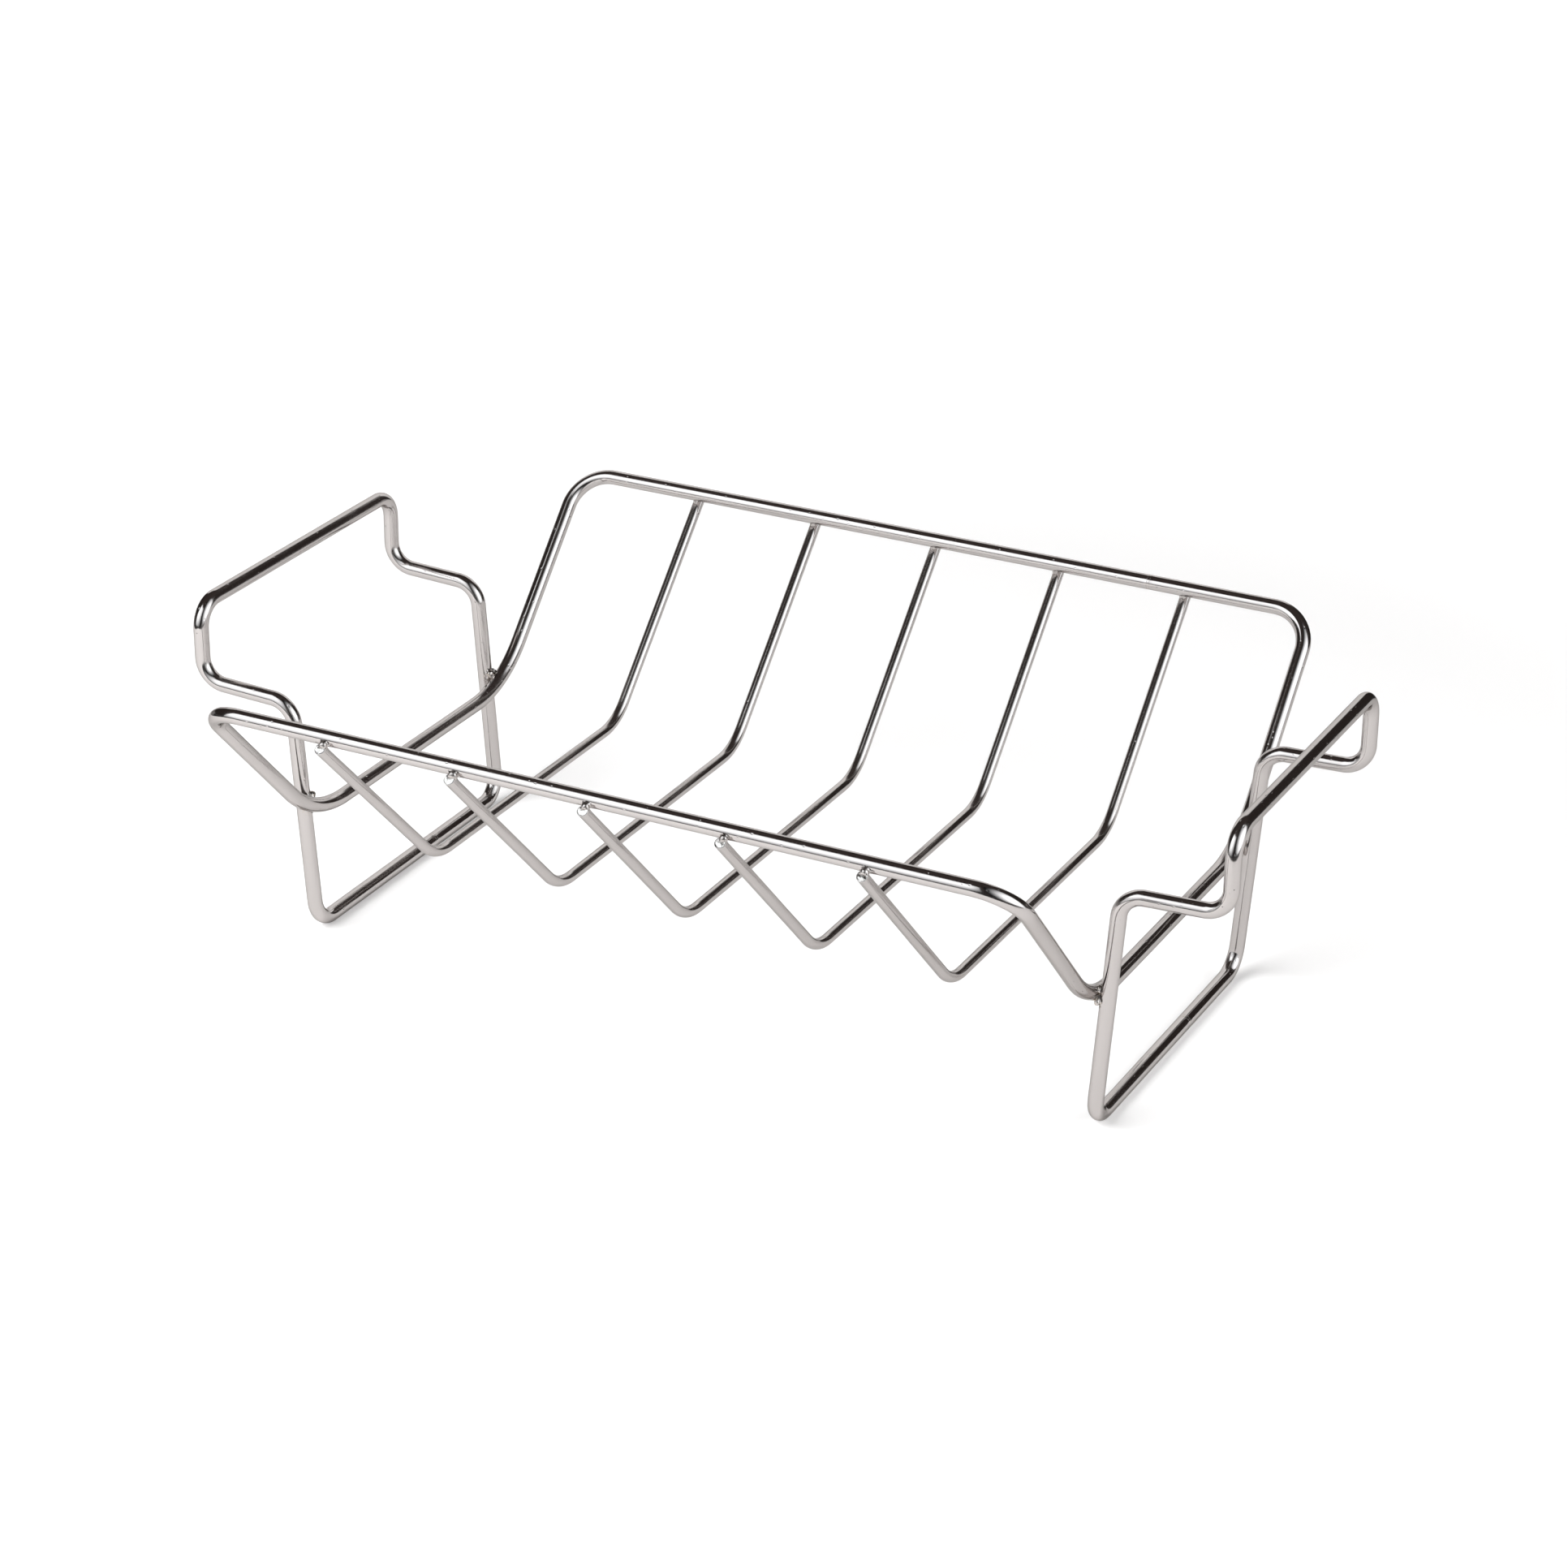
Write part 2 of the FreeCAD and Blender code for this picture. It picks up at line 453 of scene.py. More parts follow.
@dataclass(frozen=True)
class BareMetal:
    """Steel that was melted, ground or cut: brighter and duller patches with no grain.

    Attributes:
        name: The material's name.
        steel: Colour of the reflections.
        heat: How much heat tint is left, from 0 to 1.
        gloss: Roughness of the smooth patches.
        patch_gloss: Roughness added in the dull patches.
        patch_size: Size of the patches.
        grain: Size of the surface grain.
        grain_height: Height of the surface grain.
    """

    name: str
    steel: Colour = (0.60, 0.565, 0.55)
    heat: float = 0.3
    gloss: float = 0.08
    patch_gloss: float = 0.15
    patch_size: float = 0.8 * MM
    grain: float = 0.25 * MM
    grain_height: float = 0.006 * MM

    def material(self) -> bpy.types.Material:
        """Builds the material.

        Returns:
            The material. It reads the place in the rack, and needs no attribute of the mesh.
        """
        made, tree, shader = new_material(self.name)
        place = add_node(tree, "ShaderNodeTexCoord").outputs["Object"]
        haze = use_group(tree, handling_haze(), {"Place": place, "Cloud Size": self.patch_size})
        warmth = maths(tree, "MULTIPLY", haze["Haze"], self.heat)
        steel = (*self.steel, 1.0)
        tint = use_group(tree, weld_tint(), {"Place": place, "Heat": warmth, "Steel": steel})
        tree.links.new(tint["Color"], shader.inputs["Base Color"])
        dull = maths(tree, "MULTIPLY", haze["Haze"], self.patch_gloss)
        tree.links.new(maths(tree, "ADD", dull, self.gloss), shader.inputs["Roughness"])
        grain = add_node(
            tree, "ShaderNodeTexNoise", {"Vector": place, "Scale": 1.0 / self.grain, "Detail": 3.0}
        )
        grained = {"Strength": 1.0, "Distance": self.grain_height, "Height": grain.outputs[0]}
        bump = add_node(tree, "ShaderNodeBump", grained)
        tree.links.new(bump.outputs[0], shader.inputs["Normal"])
        return made


# Shapes


@dataclass(frozen=True)
class Unevenness:
    """A smooth random surface: a sum of waves in seeded directions.

    Attributes:
        height: Typical height of the surface.
        wavelength: Length of the waves.
        seed: Seed of the directions.
        waves: Number of waves.
    """

    height: float
    wavelength: float
    seed: int
    waves: int = 10

    def at(self, points: np.ndarray) -> np.ndarray:
        """Height of the surface.

        Args:
            points: Places, with their three coordinates last.

        Returns:
            One height for each place.
        """
        random = np.random.default_rng(self.seed)
        total = np.zeros(points.shape[:-1])
        for _ in range(self.waves):
            direction = random.normal(size=3)
            direction /= np.linalg.norm(direction)
            length = self.wavelength * random.uniform(0.7, 1.5)
            phase = random.uniform(0, 2 * math.pi)
            total += np.sin(points @ direction * (2 * math.pi / length) + phase)
        return total * self.height / math.sqrt(self.waves)


@dataclass(frozen=True)
class Station:
    """One place along a centre line.

    Attributes:
        place: The point.
        heading: Unit vector along the wire.
        along: Distance from the wire's first end.
        inward: Unit vector to the centre of the bend, or zero on a straight run.
        bending: 0 on a straight run, 1 in the middle of a bend.
    """

    place: Vector
    heading: Vector
    along: float
    inward: Vector
    bending: float


@dataclass
class Centreline:
    """Straight runs joined by tangent arcs.

    Attributes:
        corners: The two ends and the corners between them.
        bends: Centre-line radius at each corner between the ends.
        run_step: Longest step on a straight run.
        turn_step: Largest turn between two stations in a bend.
    """

    corners: list[Vector]
    bends: list[float]
    run_step: float = 2.0 * MM
    turn_step: float = math.radians(2.5)

    def stations(self) -> list[Station]:
        """Places along the line, close together in the bends.

        Returns:
            The stations from the first end to the last.
        """
        made: list[Station] = []
        along = 0.0
        run_start = self.corners[0]
        for before, corner, after, bend in zip(self.corners, self.corners[1:], self.corners[2:], self.bends):
            incoming = (corner - before).normalized()
            outgoing = (after - corner).normalized()
            turn = incoming.angle(outgoing)
            tangent = bend * math.tan(turn / 2)
            arc_start = corner - incoming * tangent
            along = self._add_run(made, run_start, arc_start, along)
            along = self._add_bend(made, arc_start, incoming, outgoing, bend, along)
            run_start = corner + outgoing * tangent
        last = self.corners[-1]
        along = self._add_run(made, run_start, last, along)
        made.append(Station(last, (last - run_start).normalized(), along, Vector(), 0.0))
        return made

    def _add_run(self, made: list[Station], start: Vector, end: Vector, along: float) -> float:
        """Adds a straight run up to, but without, its end, and returns the distance at its end.

        Args:
            made: The stations so far.
            start: Where the run starts.
            end: Where it ends.
            along: Distance of its start from the first end.

        Returns:
            The distance of its end.
        """
        length = (end - start).length
        heading = (end - start).normalized()
        count = max(1, math.ceil(length / self.run_step))
        for step in range(count):
            share = step / count
            made.append(Station(start.lerp(end, share), heading, along + length * share, Vector(), 0.0))
        return along + length

    def _add_bend(
        self,
        made: list[Station],
        start: Vector,
        incoming: Vector,
        outgoing: Vector,
        bend: float,
        along: float,
    ) -> float:
        """Adds a bend up to, but without, its end, and returns the distance at its end.

        Args:
            made: The stations so far.
            start: Where the bend starts.
            incoming: Unit vector along the wire before it.
            outgoing: Unit vector along the wire after it.
            bend: Its centre-line radius.
            along: Distance of its start from the first end.

        Returns:
            The distance of its end.
        """
        turn = incoming.angle(outgoing)
        first_inward = (outgoing - incoming * math.cos(turn)).normalized()
        centre = start + first_inward * bend
        count = max(4, math.ceil(turn / self.turn_step))
        for step in range(count):
            angle = turn * step / count
            inward = first_inward * math.cos(angle) - incoming * math.sin(angle)
            heading = incoming * math.cos(angle) + first_inward * math.sin(angle)
            bending = math.sin(math.pi * step / count) ** 2
            made.append(Station(centre - inward * bend, heading, along + bend * angle, inward, bending))
        return along + bend * turn


@dataclass(frozen=True)
class EndShape:
    """How a wire's end is closed: rings from the last full section to the middle of the face.

    Attributes:
        edge: Rings round the edge, each as distance past the last section and share of the radius.
        face: Rings of the face, as shares of the radius.
        facet_tilt: Slope of the facets that the shear leaves, 0 for a flat face.
        facets: Number of facets.
        seed: Seed of the facets.
    """

    edge: tuple[tuple[float, float], ...]
    face: tuple[float, ...]
    facet_tilt: float = 0.0
    facets: int = 5
    seed: int = 0

    @property
    def depth(self) -> float:
        """Distance from the last full section to the face."""
        return self.edge[-1][0]

    def rings(self, around: np.ndarray, radius: float) -> tuple[list[np.ndarray], list[np.ndarray], float]:
        """Distances and radii of the rings.

        Args:
            around: Angle of each vertex of a ring.
            radius: Radius of the wire.

        Returns:
            For each ring its distances past the last section and its radii, and then the
            distance of the middle of the face.
        """
        past = [np.full_like(around, distance) for distance, _ in self.edge]
        wide = [np.full_like(around, share * radius) for _, share in self.edge]
        for share in self.face:
            reach = share * radius
            spots = np.stack([np.cos(around) * reach, np.sin(around) * reach], axis=-1)
            past.append(self.depth + self._relief(spots, radius))
            wide.append(np.full_like(around, reach))
        middle = self.depth + float(self._relief(np.zeros((1, 2)), radius)[0])
        return past, wide, middle

    def _relief(self, spots: np.ndarray, radius: float) -> np.ndarray:
        """Height of the facets above the face's edge.

        Args:
            spots: Places on the face, from its middle.
            radius: Radius of the wire.

        Returns:
            One height for each place.
        """
        random = np.random.default_rng(self.seed)
        planes = []
        for number in range(self.facets):
            turn = 2 * math.pi * (number + random.uniform(0.1, 0.9)) / self.facets
            tilt = self.facet_tilt * random.uniform(0.4, 1.3)
            slope = spots @ np.array([math.cos(turn), math.sin(turn)]) * tilt
            planes.append(slope + self.facet_tilt * radius * random.uniform(-0.25, 0.1))
        edge = 1 - (np.linalg.norm(spots, axis=-1) / radius) ** 4
        return -np.max(planes, axis=0) * edge


BUTTED_END = EndShape(edge=((0.03 * MM, 1.0), (0.05 * MM, 0.997), (0.06 * MM, 0.985)), face=(0.9, 0.5))


def sheared_end(seed: int) -> EndShape:
    """A cut end whose edge the shear has rounded over, with a line where it was gripped.

    Args:
        seed: Seed of this end's facets.

    Returns:
        The shape of the end.
    """
    edge = (
        (0.10 * MM, 1.0),
        (0.22 * MM, 0.984),
        (0.34 * MM, 1.0),
        (0.80 * MM, 1.0),
        (1.10 * MM, 0.998),
        (1.26 * MM, 0.985),
        (1.36 * MM, 0.963),
        (1.42 * MM, 0.93),
    )
    face = (0.90, 0.84, 0.76, 0.68, 0.60, 0.52, 0.44, 0.36, 0.28, 0.20, 0.12, 0.05)
    return EndShape(edge, face, facet_tilt=0.08, seed=seed)


@dataclass
class WireShape:
    """Sweeps round wire along a centre line into a closed mesh.

    Attributes:
        diameter: Diameter of the wire.
        line: Its centre line, from cut to cut.
        ends: Shape of the first and the last end.
        hot_spots: Centres of the welds that have warmed the wire.
        seed: Seed of the unevenness, and place of the wire in its coil.
        sides: Number of vertices round the wire.
        flattening: How much a bend flattens the section.
        unevenness: Height of the waves that drawing and bending leave.
        wavelength: Length of those waves round the wire.
        heat_reach: Distance that the heat tint reaches from a weld.
    """

    diameter: float
    line: Centreline
    ends: tuple[EndShape, EndShape]
    hot_spots: list[Vector]
    seed: int
    sides: int = 48
    flattening: float = 0.02
    unevenness: float = 0.006 * MM
    wavelength: float = 7.0 * MM
    heat_reach: float = 3.2 * MM

    def mesh(self, name: str) -> bpy.types.Mesh:
        """Builds the mesh.

        Args:
            name: Name of the mesh.

        Returns:
            A closed mesh with the wire_space and heat attributes. Faces of the two end
            faces have material index 1.
        """
        first, last = self.ends
        stations = self._shortened(first.depth, last.depth)
        sides = self._frames(stations)
        around = np.arange(self.sides) * (2 * math.pi / self.sides)
        rings, spaces = self._body(stations, sides, around)
        start_rings, start_spaces, start_tip = self._end(stations[0], sides[0], around, first, -1)
        end_rings, end_spaces, end_tip = self._end(stations[-1], sides[-1], around, last, 1)
        rings = start_rings[::-1] + rings + end_rings
        spaces = start_spaces[::-1] + spaces + end_spaces
        face_rings = (len(first.face), len(last.face))
        return self._knit(name, rings, spaces, (start_tip, end_tip), face_rings)

    def _shortened(self, first_depth: float, last_depth: float) -> list[Station]:
        """The stations between the two end shapes.

        Args:
            first_depth: Depth of the first end shape.
            last_depth: Depth of the last end shape.

        Returns:
            The stations, from one end shape to the other.
        """
        corners = list(self.line.corners)
        corners[0] = corners[0] + (corners[1] - corners[0]).normalized() * first_depth
        corners[-1] = corners[-1] + (corners[-2] - corners[-1]).normalized() * last_depth
        line = Centreline(corners, self.line.bends, self.line.run_step, self.line.turn_step)
        return line.stations()

    @staticmethod
    def _frames(stations: Sequence[Station]) -> list[tuple[Vector, Vector]]:
        """Two directions square to the wire at each station, carried along without twist.

        Args:
            stations: Places along the centre line.

        Returns:
            The two unit vectors of each station.
        """
        heading = stations[0].heading
        guide = Z_AXIS if abs(heading.z) < 0.9 else X_AXIS
        normal = (guide - heading * guide.dot(heading)).normalized()
        made = []
        for station in stations:
            normal = heading.rotation_difference(station.heading) @ normal
            heading = station.heading
            normal = (normal - heading * normal.dot(heading)).normalized()
            made.append((normal.copy(), heading.cross(normal)))
        return made

    def _space(self, around: np.ndarray, reach: np.ndarray, along: np.ndarray) -> np.ndarray:
        """Coordinates that run with the wire: across it, and along it from a place in its coil."""
        coil = self.seed * COIL_STEP
        return np.stack([np.cos(around) * reach, np.sin(around) * reach, along + coil], axis=-1)

    def _body(
        self, stations: Sequence[Station], sides: Sequence[tuple[Vector, Vector]], around: np.ndarray
    ) -> tuple[list[np.ndarray], list[np.ndarray]]:
        """Rings between the two ends, and their wire coordinates.

        Args:
            stations: Places along the centre line.
            sides: The two directions square to the wire at each.
            around: Angle of each vertex of a ring.

        Returns:
            The rings, and the wire coordinates of their vertices.
        """
        waves = Unevenness(self.unevenness, self.wavelength, self.seed)
        radius = self.diameter / 2
        rings = []
        spaces = []
        for station, (normal, binormal) in zip(stations, sides):
            outward = np.outer(np.cos(around), normal) + np.outer(np.sin(around), binormal)
            space = self._space(around, np.full_like(around, radius), np.full_like(around, station.along))
            lean = 2 * (outward @ np.array(station.inward)) ** 2 - 1
            squash = -self.flattening * station.bending * lean * radius
            ripple = waves.at(space * np.array(WAVE_STRETCH))
            rings.append(np.array(station.place) + outward * (radius + squash + ripple)[:, None])
            spaces.append(space)
        return rings, spaces

    def _end(
        self,
        station: Station,
        sides: tuple[Vector, Vector],
        around: np.ndarray,
        shape: EndShape,
        way: int,
    ) -> tuple[list[np.ndarray], list[np.ndarray], tuple[np.ndarray, np.ndarray]]:
        """Rings past a station to the middle of the end face, and the middle itself.

        Args:
            station: The last full section.
            sides: The two directions square to the wire there.
            around: Angle of each vertex of a ring.
            shape: Shape of the end.
            way: -1 at the first end, 1 at the last.

        Returns:
            The rings, their wire coordinates, and the middle with its own.
        """
        normal, binormal = sides
        out = np.array(station.heading) * way
        outward = np.outer(np.cos(around), normal) + np.outer(np.sin(around), binormal)
        past, wide, middle = shape.rings(around, self.diameter / 2)
        rings = [
            np.array(station.place) + out * distance[:, None] + outward * reach[:, None]
            for distance, reach in zip(past, wide)
        ]
        spaces = [
            self._space(around, reach, station.along + way * distance) for distance, reach in zip(past, wide)
        ]
        tip = np.array(station.place) + out * middle
        tip_space = np.array([0.0, 0.0, station.along + way * middle + self.seed * COIL_STEP])
        return rings, spaces, (tip, tip_space)

    def _knit(
        self,
        name: str,
        rings: list[np.ndarray],
        spaces: list[np.ndarray],
        tips: tuple[tuple[np.ndarray, np.ndarray], tuple[np.ndarray, np.ndarray]],
        face_rings: tuple[int, int],
    ) -> bpy.types.Mesh:
        """Joins rings and tips into one closed mesh with its attributes.

        Args:
            name: Name of the mesh.
            rings: All the rings, from the first end to the last.
            spaces: Their wire coordinates.
            tips: The middles of the two end faces, each with its wire coordinates.
            face_rings: Number of rings on each end face.

        Returns:
            The mesh.
        """
        count = self.sides
        (start_tip, start_space), (end_tip, end_space) = tips
        points = np.concatenate([*rings, start_tip[None], end_tip[None]])
        space = np.concatenate([*spaces, start_space[None], end_space[None]])
        start, end = len(points) - 2, len(points) - 1
        faces = []
        slots = []
        for ring in range(len(rings) - 1):
            on_face = ring < face_rings[0] or ring >= len(rings) - 1 - face_rings[1]
            for side in range(count):
                following = (side + 1) % count
                low, high = ring * count, (ring + 1) * count
                faces.append((low + side, low + following, high + following, high + side))
                slots.append(int(on_face))
        top = (len(rings) - 1) * count
        for side in range(count):
            following = (side + 1) % count
            faces.append((following, side, start))
            faces.append((top + side, top + following, end))
            slots += [1, 1]
        mesh = bpy.data.meshes.new(name)
        mesh.from_pydata(points.tolist(), [], faces)
        mesh.polygons.foreach_set("use_smooth", np.ones(len(faces), bool))
        mesh.polygons.foreach_set("material_index", np.array(slots, np.int32))
        self._write(mesh, space, points)
        mesh.validate()
        return mesh

    def _write(self, mesh: bpy.types.Mesh, space: np.ndarray, points: np.ndarray) -> None:
        """Stores the wire coordinates and the heat of the welds on the mesh.

        Args:
            mesh: The mesh.
            space: Wire coordinates of its vertices.
            points: Places of its vertices.
        """
        stored = mesh.attributes.new("wire_space", "FLOAT_VECTOR", "POINT")
        stored.data.foreach_set("vector", space.astype(np.float32).ravel())
        heat = np.zeros(len(points))
        for spot in self.hot_spots:
            away = np.linalg.norm(points - np.array(spot), axis=1)
            heat = np.maximum(heat, np.exp(-((away / self.heat_reach) ** 2)))
        stored = mesh.attributes.new("heat", "FLOAT", "POINT")
        stored.data.foreach_set("value", heat.astype(np.float32))


def rod(centre: Vector, axis: Vector, radius: float, reach: Optional[float] = None) -> Distance:
    """Distance from a round rod.

    Args:
        centre: A point on its axis.
        axis: Unit vector along it.
        radius: Its radius.
        reach: How far it goes past the centre along the axis, or None for no end.

    Returns:
        A function of points, negative inside the rod.
    """
    origin, direction = np.array(centre), np.array(axis)

    def distance(points: np.ndarray) -> np.ndarray:
        """Signed distance of each point."""
        offset = points - origin
        along = offset @ direction
        sideways = np.linalg.norm(offset - along[..., None] * direction, axis=-1) - radius
        return sideways if reach is None else np.maximum(sideways, along - reach)

    return distance


def bent_rod(centre: Vector, bend: float, radius: float) -> Distance:
    """Distance from a rod bent to a circle about an axis along X.

    Args:
        centre: Centre of the bend.
        bend: Centre-line radius of the bend.
        radius: Radius of the rod.

    Returns:
        A function of points, negative inside the rod.
    """
    origin = np.array(centre)

    def distance(points: np.ndarray) -> np.ndarray:
        """Signed distance of each point."""
        offset = points - origin
        across = np.hypot(offset[..., 1], offset[..., 2]) - bend
        return np.hypot(across, offset[..., 0]) - radius

    return distance


def smooth_union(first: np.ndarray, second: np.ndarray, blend: float) -> np.ndarray:
    """Joins two distances with a fillet.

    Args:
        first: One signed distance.
        second: The other.
        blend: Width of the fillet.

    Returns:
        The signed distance of the two joined.
    """
    share = np.clip(0.5 + 0.5 * (second - first) / blend, 0, 1)
    return second * (1 - share) + first * share - blend * share * (1 - share)


@dataclass(frozen=True)
class Nugget:
    """A lump of weld metal, in the weld's own directions.

    Attributes:
        first: Distance from the weld's centre along the first wire.
        second: Distance along the second wire.
        out: Distance towards the second wire.
        radius: Its radius.
    """

    first: float
    second: float
    out: float
    radius: float


@dataclass
class WeldShape:
    """The metal between two wires: what a fillet between them adds, with lumps.

    Attributes:
        centre: Middle of the weld, between the two wires.
        axes: Unit vectors along the first wire, along the second, and from the first to the second.
        wires: Distances from the two wires.
        reach: How far the weld may go along each of its axes.
        nuggets: Lumps that stand out of the fillet.
        blend: Width of the fillet.
        lumps: Unevenness of the metal.
        fineness: Number of times that the starting ball is divided.
    """

    centre: Vector
    axes: tuple[Vector, Vector, Vector]
    wires: tuple[Distance, Distance]
    reach: tuple[float, float, float]
    nuggets: Sequence[Nugget]
    blend: float
    lumps: Unevenness
    fineness: int = 4

    def mesh(self, name: str) -> bpy.types.Mesh:
        """Grows a ball from the weld's centre until it meets the skin of the metal.

        Args:
            name: Name of the mesh.

        Returns:
            A closed mesh.
        """
        shell = bmesh.new()
        bmesh.ops.create_icosphere(shell, subdivisions=self.fineness, radius=1.0)
        directions = np.array([vertex.co for vertex in shell.verts])
        directions /= np.linalg.norm(directions, axis=1)[:, None]
        reach = self._reach(directions)
        for vertex, direction, length in zip(shell.verts, directions, reach):
            vertex.co = self.centre + Vector(direction * length)
        mesh = bpy.data.meshes.new(name)
        shell.to_mesh(mesh)
        shell.free()
        mesh.polygons.foreach_set("use_smooth", np.ones(len(mesh.polygons), bool))
        return mesh

    def _reach(self, directions: np.ndarray) -> np.ndarray:
        """Distance from the centre to the skin in each direction.

        Args:
            directions: Unit vectors.

        Returns:
            One distance for each direction.
        """
        frame_axes = np.array([list(axis) for axis in self.axes])
        local = directions @ frame_axes.T
        furthest = 1 / np.linalg.norm(local / np.array(self.reach), axis=1)
        length = np.zeros(len(directions))
        before_value = np.full(len(directions), -1.0)
        before_length = np.zeros(len(directions))
        for share in np.linspace(0.02, 1.0, 50):
            here = furthest * share
            value = self._metal(np.array(self.centre) + directions * here[:, None])
            leaving = (value > 0) & (before_value <= 0)
            part = before_value / np.minimum(before_value - value, -1e-12)
            length = np.where(leaving, before_length + (here - before_length) * part, length)
            before_value, before_length = value, here
        length = np.where(before_value <= 0, furthest, length)
        return length

    def _metal(self, points: np.ndarray) -> np.ndarray:
        """Signed distance from the metal: wires, fillet and nuggets together.

        Args:
            points: Places.

        Returns:
            One distance for each place, negative inside the metal.
        """
        metal = smooth_union(self.wires[0](points), self.wires[1](points), self.blend)
        for nugget in self.nuggets:
            steps = (nugget.first, nugget.second, nugget.out)
            middle = np.array(self.centre + sum((a * s for a, s in zip(self.axes, steps)), Vector()))
            ball = np.linalg.norm(points - middle, axis=-1) - nugget.radius
            metal = smooth_union(metal, ball, self.blend * 0.45)
        return metal + self.lumps.at(points)


# Pieces


class Workshop:
    """Makes the finishes once and turns meshes into pieces of the rack."""

    def __init__(self) -> None:
        """Builds every finish."""
        self.frame_wire = PolishedWire("polished_frame_wire").material()
        self.rib_wire = PolishedWire(
            "polished_rib_wire", gloss=0.13, line_width=0.18 * MM, pit_spacing=2.2 * MM, pit_share=0.3
        ).material()
        self.cut_face = BareMetal(
            "sheared_face",
            steel=(0.72, 0.70, 0.68),
            heat=0.1,
            gloss=0.14,
            patch_gloss=0.18,
            grain=0.9 * MM,
            grain_height=0.05 * MM,
        ).material()
        self.rib_weld = BareMetal("bright_weld_metal", heat=0.15, gloss=0.26, patch_gloss=0.15).material()
        self.leg_weld = BareMetal("burnt_weld_metal", heat=0.9, gloss=0.20, patch_gloss=0.2).material()
        self.ground = BareMetal(
            "ground_seam_metal", heat=0.15, gloss=0.10, patch_gloss=0.1, grain_height=0.003 * MM
        ).material()
        self.made = 0

    def place(
        self, name: str, mesh: bpy.types.Mesh, node: str, slot: Slot, finishes: Sequence[bpy.types.Material]
    ) -> bpy.types.Object:
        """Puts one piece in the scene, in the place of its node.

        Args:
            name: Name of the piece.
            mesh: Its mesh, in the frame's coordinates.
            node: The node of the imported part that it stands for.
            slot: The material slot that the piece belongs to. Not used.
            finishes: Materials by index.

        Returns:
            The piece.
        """
        for finish in finishes:
            mesh.materials.append(finish)
        piece = bpy.data.objects.new(name, mesh)
        bpy.context.scene.collection.objects.link(piece)
        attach(piece, "root")
        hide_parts(node)
        self.made += 1
        LOG.info("%s: %d faces, stands for %s", name, len(mesh.polygons), node)
        return piece


def butt_seam(centre: Vector, direction: Vector, gap: float, diameter: float, seed: int) -> bpy.types.Mesh:
    """The ground-back weld that closes a loop of wire.

    Args:
        centre: Middle of the seam.
        direction: Unit vector along the wire.
        gap: Length of the seam.
        diameter: Diameter of the wire.
        seed: Seed of its grinding marks.

    Returns:
        A short closed barrel, flush with the wire.
    """
    edge = ((0.02 * MM, 0.996), (0.05 * MM, 0.985))
    end = EndShape(edge=edge, face=(0.9, 0.5))
    line = Centreline([centre - direction * gap / 2, centre + direction * gap / 2], [], run_step=0.12 * MM)
    ground = diameter - 0.02 * MM
    shape = WireShape(ground, line, (end, end), [], seed, unevenness=0.012 * MM, wavelength=2 * MM)
    return shape.mesh("butt_seam")


